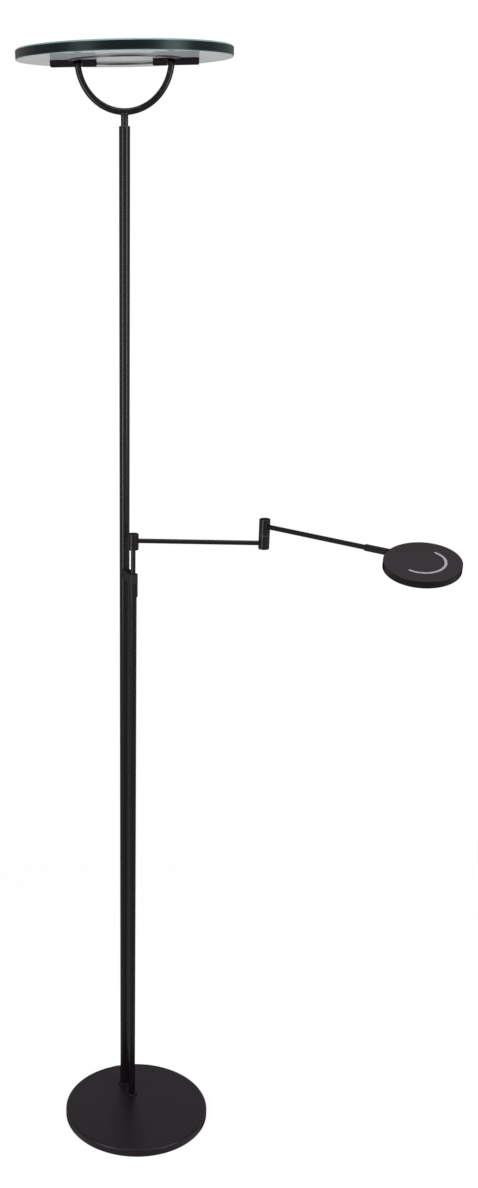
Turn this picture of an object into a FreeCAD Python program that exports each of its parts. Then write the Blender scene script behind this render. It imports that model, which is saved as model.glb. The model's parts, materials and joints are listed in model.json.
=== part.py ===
"""Torchiere floor lamp with a jointed reading arm: every piece as its own solid.

Millimetres. The origin is the centre of the round base on the floor, +Z is up.
The two upright tubes stand behind that centre (+Y); the reading arm reaches to
the front right (+X, -Y), as the lamp is set up in its picture.
"""
import os

import FreeCAD
import Part

from math import asin, atan2, cos, degrees, hypot, radians, sin, sqrt

V = FreeCAD.Vector
UP = V(0, 0, 1)

# Fits between pieces
running_gap = 0.05      # radial play of a shaft that turns or slides in its bore
face_gap = 0.1          # play between flat faces that turn on each other
slip_gap = 0.05         # radial play of a fixed piece pushed into another
loose_gap = 0.3         # plain clearance where nothing bears

# Weighted base
base_d = 280.0
base_h = 17.0
base_edge_r = 5.0
cover_wall = 1.5
cover_lift = 1.5        # the cover's rim stays this far off the floor
weight_edge = 4.0       # bevel under the cover's shoulder
pad_t = 2.0
pad_clear = 1.5         # pad's edge to the inlet bush inside the cover
driver_l = 88.0
driver_w = 38.0
driver_h = 9.5
driver_front = 62.0     # driver's centre, in front of the base centre
channel_w = 8.0         # lead channel in the weight
channel_h = 9.0

# Cord inlet in the rear wall of the base
gland_bore_d = 6.4
gland_neck_d = 9.0
gland_flange_d = 12.0
gland_z = 7.2
gland_out = 2.4         # outer flange, proud of the wall
gland_in = 3.0          # inner flange, behind the wall

# Main pole
pole_y = 79.8
pole_d = 17.0
pole_wall = 1.5
pole_top_z = 1783.0
tube_joint_z = 882.0    # both uprights are shipped in two lengths and joined here
joint_bevel = 0.5
joiner_l = 40.0
joiner_wall = 2.2

# Side tube of the reading arm
side_x = 2.8
side_y = 39.1
side_d = 12.5
side_wall = 1.2
side_top_z = 1090.0

# Feet of the uprights
main_collar_d = 26.0
side_collar_d = 22.0
collar_h = 2.6
plug_l = 24.0
main_thread_d = 10.0
side_thread_d = 8.0
main_nut_af = 17.0
side_nut_af = 13.0
nut_h = 5.0
washer_t = 1.5
washer_over = 2.5       # washer's radius beyond the nut's flats
lead_d = 4.5
lead_play = 0.35

# Pole top and swivel of the uplighter
top_cap_t = 1.2
bush_l = 26.0
neck_journal_d = 9.6
neck_d = 11.2
neck_bore_d = 5.0
neck_flare = 1.0
neck_saddle = 3.0       # how far the neck's saddle climbs round the bow
neck_rise = 15.0        # pole's top to the bow's underside
circlip_t = 0.8
circlip_over = 1.6
groove_depth = 0.8

# Half-round bow that carries the glass
bow_turn_deg = -18.2    # heading of the bow's plane about the pole
bow_lean_deg = 0.9      # the bow sits this far round on its neck, right side up
bow_r = 70.7
bow_tube_d = 9.6
eye_w = 10.8            # width of the bow's eyes
eye_d = 8.4

# Tilt pivots
block_below_axis = 3.4
block_in_reach = 21.0   # block's length inside its slot
block_out_reach = 35.0  # and outside it
block_w = 20.0
block_edge = 0.8
slot_roof = 0.3
tilt_washer_in_t = 1.7
tilt_washer_out_t = 0.7
tilt_washer_inset = 0.8 # washer's edge, inside the eye's
tilt_screw_d = 3.0
tilt_screw_bite = 9.0   # thread length inside the slot
tilt_head_d = 5.2
tilt_head_h = 2.2
tilt_head_sink = 0.4
tilt_key_af = 2.0
tilt_key_depth = 1.1

# Glass disc and its light ring
glass_d = 326.8
glass_t = 14.5
glass_edge = 0.8
ring_off_slot = 1.0     # ring's bore, outside the block's slot
ring_band = 7.0
ring_h = 2.4
ring_off_screw = 1.5    # tilt screw, under the ring
ring_floor = 0.6
ring_wall = 0.8
board_t = 0.8
glass_screw_in = 10.0   # glass screws, from the block's inner end
glass_screw_out = 9.0   # and from its outer end
glass_screw_d = 4.0
glass_hole_d = 7.0
glass_screw_off = 0.8   # glass screw's tip, above the tilt screw
glass_head_d = 9.0
glass_head_h = 2.4
glass_washer_d = 13.0
glass_washer_t = 1.0

# Bracket between the uprights
bracket_h = 17.0
bracket_lip = 1.5       # over the guide bush's flange
bracket_wall = 1.6
bracket_web_w = 13.0
bracket_edge = 0.6
skirt_l = 23.0
skirt_half_deg = 60.0
bracket_screw_d = 4.0
bracket_head_d = 7.0
bracket_head_h = 2.0
bracket_bite = 4.0
set_screw_d = 4.0
set_screw_sink = 0.3
skirt_screw_up = 5.0    # set screw's height above the skirt's lower end

# Lifting rod
rod_d = 8.0
guide_l = 26.0
guide_flange_t = 1.5
rod_out = 44.3          # rod above the side tube, as the lamp is set up
lift_up = 110.0         # travel left above that
stop_clear = 4.0
rod_stop_h = 10.0
spigot_d = 6.0
thrust_t = 0.7
thrust_d = 12.0

# Swing hub on the rod
hub_d = 18.5
hub_h = 27.4
hub_cap_t = 3.0
hub_cap_plug = 1.6
hub_edge = 0.8
hub_pocket_d = 11.0
hub_pocket_h = 9.5
hold_screw_head_d = 9.4
hold_screw_head_h = 2.4
hold_screw_d = 3.0
hold_screw_l = 10.0

# Lower arm
arm_turn_deg = -21.2
arm_up = 15.3           # arm's axis above the hub's foot
arm_l = 219.6
arm_d = 7.8
arm_wall = 1.2
socket_depth = 2.0

# Elbow
knuckle_d = 18.5
knuckle_below_arm = 9.8
knuckle_lower_h = 23.1
knuckle_upper_h = 27.0
knuckle_edge = 0.8
elbow_washer_t = 0.6
elbow_pin_d = 6.0
elbow_pin_floor = 5.0   # solid metal under the pin
elbow_pocket_h = 8.2
elbow_cap_t = 3.0
elbow_screw_turn_deg = 60.0
elbow_screw_up = 8.0    # set screw's height above the knuckle's foot

# Upper arm and sleeve
forearm_turn_deg = -61.5
forearm_floor = 0.2     # metal between the upper arm and the pocket above it
forearm_d = 8.0
sleeve_l = 44.0
sleeve_end = 247.4      # from the elbow's axis
sleeve_d = 11.0
sleeve_seat = 10.0      # length of arm tube inside the sleeve
sleeve_edge = 0.5
neck_end_gap = 2.0
head_neck_wall = 1.5
roll_screw_d = 3.0
roll_screw_back = 19.0  # from the sleeve's end
roll_groove_w = 3.6

# Reading head
head_roll_deg = 11.9     # about the arm, top towards the front
head_pitch_deg = 9.4    # the head hangs below the line of its arm
head_d = 120.4
head_h = 12.0
head_top = 7.0          # top face above the arm's axis
head_stand_off = 1.5
head_wall = 1.6
head_roof = 2.0
head_edge = 1.0
arc_r = 38.3
arc_w = 3.0
arc_half_deg = 90.0
arc_flange = 1.5
arc_flange_t = 1.2
arc_sink = 0.1
spreader_t = 1.5
spreader_play = 0.5
head_board_t = 1.2
head_board_play = 2.7   # board's edge to the screw heads
head_screw_edge = 6.4   # screws, inside the spreader's edge
head_screw_count = 3
head_boss_d = 5.0
head_screw_d = 2.5
head_screw_head_d = 4.6
head_screw_head_h = 1.5
lens_t = 2.0
lens_lip = 1.0
lens_proud = 1.3
lens_edge = 0.6

# Places worked out from the sizes above
pole_r = pole_d / 2
pole_bore_r = pole_r - pole_wall
side_r = side_d / 2
side_bore_r = side_r - side_wall
cover_in_r = base_d / 2 - cover_wall
cover_in_z = base_h - cover_wall
pad_r = cover_in_r - gland_in - pad_clear
bow_centre_z = pole_top_z + neck_rise + bow_tube_d / 2 + bow_r
axis_below_glass = ring_h + ring_off_screw + tilt_screw_d / 2
tilt_z = bow_centre_z - axis_below_glass
glass_z = bow_centre_z
block_z = tilt_z - block_below_axis
eye_mid_x = sqrt(bow_r ** 2 - axis_below_glass ** 2)
eye_inner_x = eye_mid_x - eye_w / 2
eye_outer_x = eye_mid_x + eye_w / 2
slot_inner_x = eye_inner_x - face_gap - tilt_washer_in_t
slot_outer_x = eye_outer_x + face_gap + tilt_washer_out_t
block_inner_x = slot_inner_x - block_in_reach
block_outer_x = slot_outer_x + block_out_reach
tilt_screw_tip_x = slot_inner_x - tilt_screw_bite
ring_inner_r = slot_outer_x + ring_off_slot
ring_outer_r = ring_inner_r + ring_band
glass_screw_x = (block_inner_x + glass_screw_in, block_outer_x - glass_screw_out)
glass_screw_bite = axis_below_glass - tilt_screw_d / 2 - glass_screw_off
bracket_top_z = side_top_z + guide_flange_t + bracket_lip
bracket_z = bracket_top_z - bracket_h
skirt_z = bracket_z - skirt_l
rod_foot_z = side_top_z - guide_l - lift_up - stop_clear - rod_stop_h
shoulder_z = side_top_z + rod_out
washer_z = pad_t + 1.0 + nut_h
rod_r = rod_d / 2
hub_foot_z = shoulder_z + thrust_t + face_gap
hub_top_z = hub_foot_z + hub_h
hub_floor_z = hub_top_z - hub_pocket_h
hold_z = hub_floor_z + face_gap
arm_z = hub_foot_z + arm_up
knuckle_foot_z = arm_z - knuckle_below_arm
knuckle_seam_z = knuckle_foot_z + knuckle_lower_h
elbow_pin_foot_z = knuckle_foot_z + elbow_pin_floor
elbow_screw_z = knuckle_foot_z + elbow_screw_up
elbow_seat_z = knuckle_seam_z + elbow_washer_t + face_gap
knuckle_top_z = elbow_seat_z + knuckle_upper_h
elbow_floor_z = knuckle_top_z - elbow_pocket_h
elbow_hold_z = elbow_floor_z + face_gap
forearm_z = elbow_floor_z - forearm_floor - forearm_d / 2
sleeve_start = sleeve_end - sleeve_l
roll_screw_at = sleeve_end - roll_screw_back
elbow_x = side_x + arm_l * cos(radians(arm_turn_deg))
elbow_y = side_y + arm_l * sin(radians(arm_turn_deg))
web_l = hypot(side_x, pole_y - side_y)
web_turn_deg = degrees(atan2(pole_y - side_y, -side_x))


def rod(r, z0, z1, x=0.0, y=0.0):
    """Upright cylinder between two heights."""
    return Part.makeCylinder(r, z1 - z0, V(x, y, z0), UP)


def pipe(r_out, r_in, z0, z1, x=0.0, y=0.0):
    """Upright tube between two heights."""
    return rod(r_out, z0, z1, x, y).cut(rod(r_in, z0, z1, x, y))


def bar(r, x0, x1, y=0.0, z=0.0):
    """Cylinder along X."""
    return Part.makeCylinder(r, x1 - x0, V(x0, y, z), V(1, 0, 0))


def block(x0, x1, y0, y1, z0, z1):
    """Box between two corners."""
    return Part.makeBox(x1 - x0, y1 - y0, z1 - z0, V(x0, y0, z0))


def turned(points, x=0.0, y=0.0):
    """Solid of revolution about an upright axis from a closed outline of (r, z) points."""
    corners = [V(r, 0, z) for r, z in points]
    outline = Part.makePolygon(corners + corners[:1])
    solid = Part.Face(outline).revolve(V(0, 0, 0), UP, 360)
    solid.translate(V(x, y, 0))
    return solid


def bevelled_rod(r, z0, z1, bevel_low, bevel_high, x=0.0, y=0.0):
    """Upright cylinder with a bevel at either end; a bevel of nought leaves the end sharp."""
    points = [(0, z0), (r - bevel_low, z0)]
    if bevel_low:
        points.append((r, z0 + bevel_low))
    if bevel_high:
        points.append((r, z1 - bevel_high))
    points += [(r - bevel_high, z1), (0, z1)]
    return turned(points, x, y)


def hexagon(across_flats, z0, z1, x=0.0, y=0.0):
    """Upright hexagonal prism."""
    r = across_flats / 2 / cos(radians(30))
    corners = [V(x + r * cos(radians(60 * k)), y + r * sin(radians(60 * k)), z0) for k in range(7)]
    return Part.Face(Part.makePolygon(corners)).extrude(V(0, 0, z1 - z0))


def spun(shape, degrees_about_z, x=0.0, y=0.0):
    """Shape made along +X from the origin, turned to a heading and set on an upright axis."""
    copy = shape.copy()
    copy.rotate(V(0, 0, 0), UP, degrees_about_z)
    copy.translate(V(x, y, 0))
    return copy


def mirrored_x(shape):
    return shape.mirror(V(0, 0, 0), V(1, 0, 0))


def rounded_disc(r, z0, z1, edge):
    """Disc whose upper edge is a quarter round."""
    outline = Part.Wire([
        Part.makeLine(V(0, 0, z0), V(r, 0, z0)),
        Part.makeLine(V(r, 0, z0), V(r, 0, z1 - edge)),
        Part.Arc(
            V(r, 0, z1 - edge),
            V(r - edge + edge * cos(radians(45)), 0, z1 - edge + edge * sin(radians(45))),
            V(r - edge, 0, z1),
        ).toShape(),
        Part.makeLine(V(r - edge, 0, z1), V(0, 0, z1)),
        Part.makeLine(V(0, 0, z1), V(0, 0, z0)),
    ])
    return Part.Face(outline).revolve(V(0, 0, 0), UP, 360)


# Base


def base_cover():
    """Spun steel cover with a round shoulder, drilled for the uprights and the cord inlet."""
    shell = rounded_disc(base_d / 2, cover_lift, base_h, base_edge_r)
    shell = shell.cut(cover_hollow(0, cover_lift))
    shell = shell.cut(rod(main_thread_d / 2 + slip_gap, 0, base_h + 1, 0, pole_y))
    shell = shell.cut(rod(side_thread_d / 2 + slip_gap, 0, base_h + 1, side_x, side_y))
    return shell.cut(inlet_neck(gland_neck_d / 2 + slip_gap, cover_in_r - 5, base_d / 2 + 5))


def cover_hollow(gap, z0):
    """Space inside the cover, with a bevel under its shoulder, less a gap at the side."""
    return bevelled_rod(cover_in_r - gap, z0, cover_in_z, 0, weight_edge)


def inlet_neck(r, y0, y1):
    """Cylinder along +Y at the cord inlet."""
    return Part.makeCylinder(r, y1 - y0, V(0, y0, gland_z), V(0, 1, 0))


def base_weight():
    """Cast disc that fills the cover, with nut pockets, a driver pocket and a lead channel."""
    disc = cover_hollow(loose_gap, pad_t)
    disc = disc.cut(rod(main_thread_d / 2 + slip_gap, 0, base_h, 0, pole_y))
    disc = disc.cut(rod(side_thread_d / 2 + slip_gap, 0, base_h, side_x, side_y))
    disc = disc.cut(rod(main_nut_af / 2 + washer_over + 1, 0, washer_z + washer_t, 0, pole_y))
    disc = disc.cut(rod(side_nut_af / 2 + washer_over + 1, 0, washer_z + washer_t, side_x, side_y))
    half_l = driver_l / 2 + 1
    half_w = driver_w / 2 + 1
    pocket_top = pad_t + driver_h + loose_gap
    disc = disc.cut(block(-half_l, half_l, -driver_front - half_w, -driver_front + half_w, 0, pocket_top))
    half_c = channel_w / 2
    channel_end = cover_in_r - 2 * gland_in
    disc = disc.cut(block(-half_c, half_c, -driver_front, channel_end, 0, pad_t + channel_h))
    notch_r = gland_flange_d / 2 + loose_gap
    return disc.cut(block(-notch_r, notch_r, channel_end - 1, base_d / 2, 0, gland_z + notch_r))


def base_pad():
    """Soft disc under the weight; the lamp stands on it."""
    return bevelled_rod(pad_r, 0, pad_t, 0.5, 0)


def led_driver():
    """Flat mains driver in the weight's pocket."""
    half_l = driver_l / 2
    half_w = driver_w / 2
    case = block(-half_l, half_l, -driver_front - half_w, -driver_front + half_w, pad_t, pad_t + driver_h)
    upright = [e for e in case.Edges if abs(e.tangentAt(e.FirstParameter).z) > 0.9]
    return case.makeFillet(3.0, upright)


def cable_gland():
    """Flanged inlet bush in the cover's rear wall, without its cord."""
    outside = inlet_neck(gland_flange_d / 2, cover_in_r, base_d / 2 + gland_out)
    outside = outside.cut(rounded_disc(base_d / 2, 0, base_h, base_edge_r))
    inside = inlet_neck(gland_flange_d / 2, cover_in_r - gland_in, base_d / 2)
    inside = inside.common(cover_hollow(0, 0))
    neck = inlet_neck(gland_neck_d / 2, cover_in_r - gland_in, base_d / 2 + gland_out)
    bush = outside.fuse([inside, neck]).removeSplitter()
    return bush.cut(inlet_neck(gland_bore_d / 2, cover_in_r - 20, base_d / 2 + 20))


# Feet of the uprights


def foot_stud(bore_r, thread_d, x, y):
    """Plug in a tube's lower end with a threaded shank through cover and weight."""
    plug = bevelled_rod(bore_r - slip_gap, base_h, base_h + plug_l, 0, 1.0, x, y)
    shank = rod(thread_d / 2, pad_t + loose_gap, base_h, x, y)
    lead_hole = rod(lead_d / 2 + lead_play, 0, base_h + plug_l + 1, x, y)
    return plug.fuse(shank).removeSplitter().cut(lead_hole)


def foot_washer(nut_af, thread_d, x, y):
    r_out = nut_af / 2 + washer_over
    return pipe(r_out, thread_d / 2 + slip_gap, washer_z, washer_z + washer_t, x, y)


def foot_nut(nut_af, thread_d, x, y):
    blank = hexagon(nut_af, washer_z - nut_h, washer_z, x, y)
    return blank.cut(rod(thread_d / 2 + slip_gap, 0, base_h, x, y))


def foot_collar(collar_d, tube_d, x, y):
    """Low turned ring that hides a tube's foot."""
    r_out = collar_d / 2
    r_in = tube_d / 2 + slip_gap
    points = [
        (r_in, base_h),
        (r_out, base_h),
        (r_out, base_h + collar_h - 1.0),
        (r_out - 1.0, base_h + collar_h),
        (r_in, base_h + collar_h),
    ]
    return turned(points, x, y)


# Uprights


def upright(tube_d, wall, z0, z1, bevel_low, bevel_high, x, y):
    """One length of an upright; its ends at a joint are bevelled, which leaves a fine line."""
    outside = bevelled_rod(tube_d / 2, z0, z1, bevel_low, bevel_high, x, y)
    return outside.cut(rod(tube_d / 2 - wall, z0 - 1, z1 + 1, x, y))


def joiner(bore_r, x, y):
    """Sleeve inside the two lengths of an upright, half in each."""
    half = joiner_l / 2
    r_out = bore_r - slip_gap
    outside = bevelled_rod(r_out, tube_joint_z - half, tube_joint_z + half, 0.6, 0.6, x, y)
    return outside.cut(rod(r_out - joiner_wall, tube_joint_z - half - 1, tube_joint_z + half + 1, x, y))


def main_pole_upper():
    """Upper length of the main pole, tapped through one wall for the bracket's screw."""
    tube = upright(pole_d, pole_wall, tube_joint_z, pole_top_z - top_cap_t, joint_bevel, 0, 0, pole_y)
    return tube.cut(bracket_screw_bar(bracket_screw_d / 2 + slip_gap))


def main_lead():
    """Stretch of lead that the main pole holds, from the base to the neck."""
    return rod(lead_d / 2, pad_t, neck_foot_z() - 1.0, 0, pole_y)


# Bracket


def along_web(shape):
    """Shape made along +X from the side tube's axis, turned towards the main pole."""
    return spun(shape, web_turn_deg, side_x, side_y)


def bracket_screw_bar(r):
    tip = web_l - pole_r + bracket_bite
    return along_web(bar(r, side_r, tip, 0, (bracket_z + bracket_top_z) / 2))


def skirt_wedge(z0, z1):
    """Upright wedge about the +X side of the side tube, as wide as the skirt."""
    far = 4 * side_d
    half = radians(skirt_half_deg)
    corners = [
        V(side_x, side_y, z0),
        V(side_x + far * cos(half), side_y - far * sin(half), z0),
        V(side_x + far * cos(half), side_y + far * sin(half), z0),
        V(side_x, side_y, z0),
    ]
    return Part.Face(Part.makePolygon(corners)).extrude(V(0, 0, z1 - z0))


def skirt_screw_bar(r, start, end):
    """Cylinder through the skirt towards the side tube."""
    return bar(r, side_x + start, side_x + end, side_y, skirt_z + skirt_screw_up)


def arm_bracket():
    """Moulded link: a collar round the side tube, a web saddled on the pole and a skirt."""
    ring_r = side_r + slip_gap + bracket_wall
    collar = bevelled_rod(ring_r, bracket_z, bracket_top_z, bracket_edge, bracket_edge, side_x, side_y)
    half = bracket_web_w / 2
    web = block(0, web_l, -half, half, bracket_z, bracket_top_z)
    long_edges = [e for e in web.Edges if abs(e.tangentAt(e.FirstParameter).x) > 0.9]
    web = along_web(web.makeChamfer(bracket_edge, long_edges))
    skirt = bevelled_rod(ring_r, skirt_z, bracket_z + 1, bracket_edge, 0, side_x, side_y)
    skirt = skirt.common(skirt_wedge(skirt_z, bracket_z + 1))
    link = collar.fuse([web, skirt]).removeSplitter()
    link = link.cut(rod(pole_r, skirt_z, bracket_top_z + 1, 0, pole_y))
    seat_z = side_top_z + guide_flange_t
    link = link.cut(rod(side_r + slip_gap, skirt_z - 1, seat_z, side_x, side_y))
    link = link.cut(rod(rod_r + loose_gap, seat_z - 1, bracket_top_z + 1, side_x, side_y))
    link = link.cut(bracket_screw_bar(bracket_screw_d / 2 + slip_gap))
    link = link.cut(bracket_countersink(slip_gap))
    return link.cut(skirt_screw_bar(set_screw_d / 2, 0, 2 * side_d))


def bracket_countersink(grow):
    """Cone of the bracket screw's head, sunk in the collar's bore wall."""
    cone = Part.makeCone(
        bracket_head_d / 2 + grow,
        bracket_screw_d / 2 + grow,
        bracket_head_h,
        V(side_r + slip_gap + loose_gap, 0, (bracket_z + bracket_top_z) / 2),
        V(1, 0, 0),
    )
    mouth = bar(
        bracket_head_d / 2 + grow,
        side_r - 1,
        side_r + slip_gap + loose_gap,
        0,
        (bracket_z + bracket_top_z) / 2,
    )
    cone = cone.fuse(mouth) if grow else cone
    return along_web(cone)


def bracket_screw():
    shank = bracket_screw_bar(bracket_screw_d / 2)
    inside = rod(side_r + slip_gap + loose_gap, bracket_z, bracket_top_z, side_x, side_y)
    return bracket_countersink(0).fuse(shank.cut(inside)).removeSplitter()


def bracket_set_screw():
    """Socket set screw that locks the side tube in the skirt."""
    outer = side_r + slip_gap + bracket_wall - set_screw_sink
    screw = skirt_screw_bar(set_screw_d / 2 - slip_gap, side_r, outer)
    return screw.cut(skirt_screw_bar(set_screw_d / 4, outer - 0.8, outer + 1))


def rod_guide_bush():
    """Flanged plastic bush in the side tube's mouth, in which the lifting rod slides."""
    sleeve = rod(side_bore_r - slip_gap, side_top_z - guide_l, side_top_z, side_x, side_y)
    flange = rod(side_r, side_top_z, side_top_z + guide_flange_t, side_x, side_y)
    bush = sleeve.fuse(flange).removeSplitter()
    return bush.cut(rod(rod_r + running_gap, side_top_z - guide_l - 1, side_top_z + 5, side_x, side_y))


# Swivel of the uplighter, in the pole's top


def neck_foot_z():
    return pole_top_z - top_cap_t - bush_l - circlip_t - 1.5


def pole_top_bush():
    """Flanged bearing bush that caps the pole; the neck turns in it."""
    sleeve = rod(pole_bore_r - slip_gap, pole_top_z - top_cap_t - bush_l, pole_top_z, 0, pole_y)
    flange = bevelled_rod(pole_r, pole_top_z - top_cap_t, pole_top_z, 0, 0.5, 0, pole_y)
    bush = sleeve.fuse(flange).removeSplitter()
    return bush.cut(rod(neck_journal_d / 2 + running_gap, neck_foot_z(), pole_top_z + 1, 0, pole_y))


def neck_pin():
    """Turned neck: journal in the bush, shoulder on it and a saddle under the bow."""
    journal_r = neck_journal_d / 2
    neck_r = neck_d / 2
    seat_z = pole_top_z + face_gap
    groove_top = pole_top_z - top_cap_t - bush_l - face_gap
    groove_low = groove_top - circlip_t
    bow_low = bow_centre_z - bow_r - bow_tube_d / 2
    top = bow_low + neck_saddle
    points = [
        (0, neck_foot_z()),
        (journal_r, neck_foot_z()),
        (journal_r, groove_low),
        (journal_r - groove_depth, groove_low),
        (journal_r - groove_depth, groove_top),
        (journal_r, groove_top),
        (journal_r, seat_z),
        (neck_r, seat_z),
        (neck_r, bow_low - neck_flare),
        (neck_r + neck_flare, bow_low + neck_flare),
        (neck_r + neck_flare, top),
        (0, top),
    ]
    pin = turned(points, 0, pole_y)
    pin = pin.cut(upright_place(bow_core()))
    return pin.cut(rod(neck_bore_d / 2, neck_foot_z() - 1, top + 1, 0, pole_y))


def neck_circlip():
    """Spring ring under the bush that keeps the neck in the pole."""
    journal_r = neck_journal_d / 2
    top = pole_top_z - top_cap_t - bush_l - face_gap
    ring = pipe(journal_r + circlip_over, journal_r - groove_depth, top - circlip_t, top, 0, pole_y)
    return ring.cut(block(-1.5, 1.5, pole_y, pole_y + pole_r, top - circlip_t, top))


# Bow, made upright in a plane along X about the pole's axis, then leaned and turned


def bow_core():
    """Stretch of ring from one eye to the other, solid inside."""
    first = degrees(asin(axis_below_glass / bow_r))
    centre = V(0, 0, bow_centre_z)
    section = Part.makeCircle(bow_tube_d / 2, V(bow_r, 0, bow_centre_z), V(0, 0, 1))
    disc = Part.Face(Part.Wire(section))
    disc.rotate(centre, V(0, 1, 0), first)
    return disc.revolve(centre, V(0, 1, 0), 180 - 2 * first)


def upright_place(shape):
    """From the pole's axis at the origin to the pole, at the bow's heading."""
    return spun(shape, bow_turn_deg, 0, pole_y)


def leaned(shape):
    """Leaned about the bow's centre, then set at the bow's place."""
    copy = shape.copy()
    copy.rotate(V(0, 0, bow_centre_z), V(0, 1, 0), -bow_lean_deg)
    return upright_place(copy)


def yoke_bow():
    """Half-round bow with an eye at each end, bored for the tilt screws, and a lead hole at its foot."""
    bow = bow_core()
    eye = bar(eye_d / 2, eye_inner_x, eye_outer_x, 0, tilt_z)
    bow = bow.fuse([eye, mirrored_x(eye)]).removeSplitter()
    pin_hole = bar(tilt_screw_d / 2 + running_gap, -2 * bow_r, 2 * bow_r, 0, tilt_z)
    bow = leaned(bow.cut(pin_hole))
    return bow.cut(rod(neck_bore_d / 2, pole_top_z, bow_centre_z - bow_r, 0, pole_y))


# Uplighter head


def pivot_block_right():
    """Black block under the glass: a clevis for the bow's eye, grooved for the light ring."""
    half = block_w / 2
    body = block(block_inner_x, block_outer_x, -half, half, block_z, glass_z)
    lower = [e for e in body.Edges if e.BoundBox.ZMax < block_z + 0.01]
    body = body.makeChamfer(block_edge, lower)
    roof = tilt_z + eye_d / 2 + slot_roof
    body = body.cut(block(slot_inner_x, slot_outer_x, -block_w, block_w, block_z - 1, roof))
    body = body.cut(pipe(ring_outer_r, ring_inner_r, glass_z - ring_h, glass_z + 1))
    body = body.cut(bar(tilt_screw_d / 2, tilt_screw_tip_x, block_outer_x + 1, 0, tilt_z))
    head_seat = block_outer_x - tilt_head_h - tilt_head_sink
    body = body.cut(bar(tilt_head_d / 2 + slip_gap, head_seat, block_outer_x + 1, 0, tilt_z))
    for x in glass_screw_x:
        body = body.cut(rod(glass_screw_d / 2, glass_z - glass_screw_bite, glass_z + 1, x))
    return body


def tilt_screw():
    """Shoulder screw from the block's outer end, through the bow's eye, with a hexagon socket."""
    head_seat = block_outer_x - tilt_head_h - tilt_head_sink
    shank = bar(tilt_screw_d / 2, tilt_screw_tip_x, head_seat, 0, tilt_z)
    head = bar(tilt_head_d / 2, head_seat, head_seat + tilt_head_h, 0, tilt_z)
    key = hexagon(tilt_key_af, 0, tilt_key_depth + 1)
    key.rotate(V(0, 0, 0), V(0, 1, 0), 90)
    key.translate(V(head_seat + tilt_head_h - tilt_key_depth, 0, tilt_z))
    return shank.fuse(head).removeSplitter().cut(key)


def tilt_washers():
    """Friction washers on both sides of the bow's eye, for one pivot."""
    r_out = eye_d / 2 - tilt_washer_inset
    bore = bar(tilt_screw_d / 2 + slip_gap, 0, 2 * block_outer_x, 0, tilt_z)
    inner = bar(r_out, slot_inner_x, eye_inner_x - face_gap, 0, tilt_z).cut(bore)
    outer = bar(r_out, eye_outer_x + face_gap, slot_outer_x, 0, tilt_z).cut(bore)
    return [inner, outer]


def led_carrier_ring():
    """Channel ring under the glass that holds the light board."""
    low = glass_z - ring_h
    channel = pipe(ring_outer_r, ring_inner_r, low, glass_z)
    return channel.cut(pipe(ring_outer_r - ring_wall, ring_inner_r + ring_wall, low + ring_floor, glass_z))


def led_board():
    """Annular circuit board on the channel's floor."""
    floor = glass_z - ring_h + ring_floor
    r_out = ring_outer_r - ring_wall - slip_gap
    r_in = ring_inner_r + ring_wall + slip_gap
    return pipe(r_out, r_in, floor, floor + board_t)


def glass_disc():
    """Thick clear disc with ground edges, drilled for its four screws."""
    disc = bevelled_rod(glass_d / 2, glass_z, glass_z + glass_t, glass_edge, glass_edge)
    for x in glass_screw_x:
        for side in (-1, 1):
            disc = disc.cut(rod(glass_hole_d / 2, glass_z - 1, glass_z + glass_t + 1, side * x))
    return disc


def glass_screw(x):
    """Round-headed screw through the glass into a pivot block."""
    top = glass_z + glass_t + glass_washer_t
    head = bevelled_rod(glass_head_d / 2, top, top + glass_head_h, 0, 0.8)
    shank = rod(glass_screw_d / 2, glass_z - glass_screw_bite, top)
    screw = head.fuse(shank).removeSplitter()
    screw.translate(V(x, 0, 0))
    return screw


def glass_washer(x):
    """Soft flanged washer: a disc under the screw's head and a sleeve in the glass."""
    top = glass_z + glass_t
    disc = rod(glass_washer_d / 2, top, top + glass_washer_t)
    sleeve = rod(glass_hole_d / 2 - slip_gap, glass_z, top)
    washer = disc.fuse(sleeve).removeSplitter()
    washer = washer.cut(rod(glass_screw_d / 2 + slip_gap, glass_z - 1, top + 5))
    washer.translate(V(x, 0, 0))
    return washer


# Lifting rod and swing hub


def lift_rod():
    """Rod with a spigot on which the hub turns, tapped at its top."""
    points = [
        (0, rod_foot_z),
        (rod_r, rod_foot_z),
        (rod_r, shoulder_z),
        (spigot_d / 2, shoulder_z),
        (spigot_d / 2, hold_z),
        (0, hold_z),
    ]
    shaft = turned(points, side_x, side_y)
    return shaft.cut(rod(hold_screw_d / 2, hold_z - hold_screw_l, hold_z + 1, side_x, side_y))


def rod_stop():
    """Plastic ring on the rod's foot: it guides the rod and stops it under the bush."""
    r_out = side_bore_r - running_gap
    ring = bevelled_rod(r_out, rod_foot_z, rod_foot_z + rod_stop_h, 0.4, 0.4, side_x, side_y)
    return ring.cut(rod(rod_r, rod_foot_z - 1, rod_foot_z + rod_stop_h + 1, side_x, side_y))


def thrust_washer():
    """Slip washer on the rod's shoulder, under the hub."""
    return pipe(thrust_d / 2, spigot_d / 2 + slip_gap, shoulder_z, shoulder_z + thrust_t, side_x, side_y)


def hold_screw(z, x, y):
    """Broad-headed screw in the top of a spigot, which keeps the turning piece on it."""
    head = bevelled_rod(hold_screw_head_d / 2, z, z + hold_screw_head_h, 0, 0.5, x, y)
    shank = rod(hold_screw_d / 2, z - hold_screw_l, z, x, y)
    key = hexagon(2.5, z + hold_screw_head_h - 1.2, z + hold_screw_head_h + 1, x, y)
    return head.fuse(shank).removeSplitter().cut(key)


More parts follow.
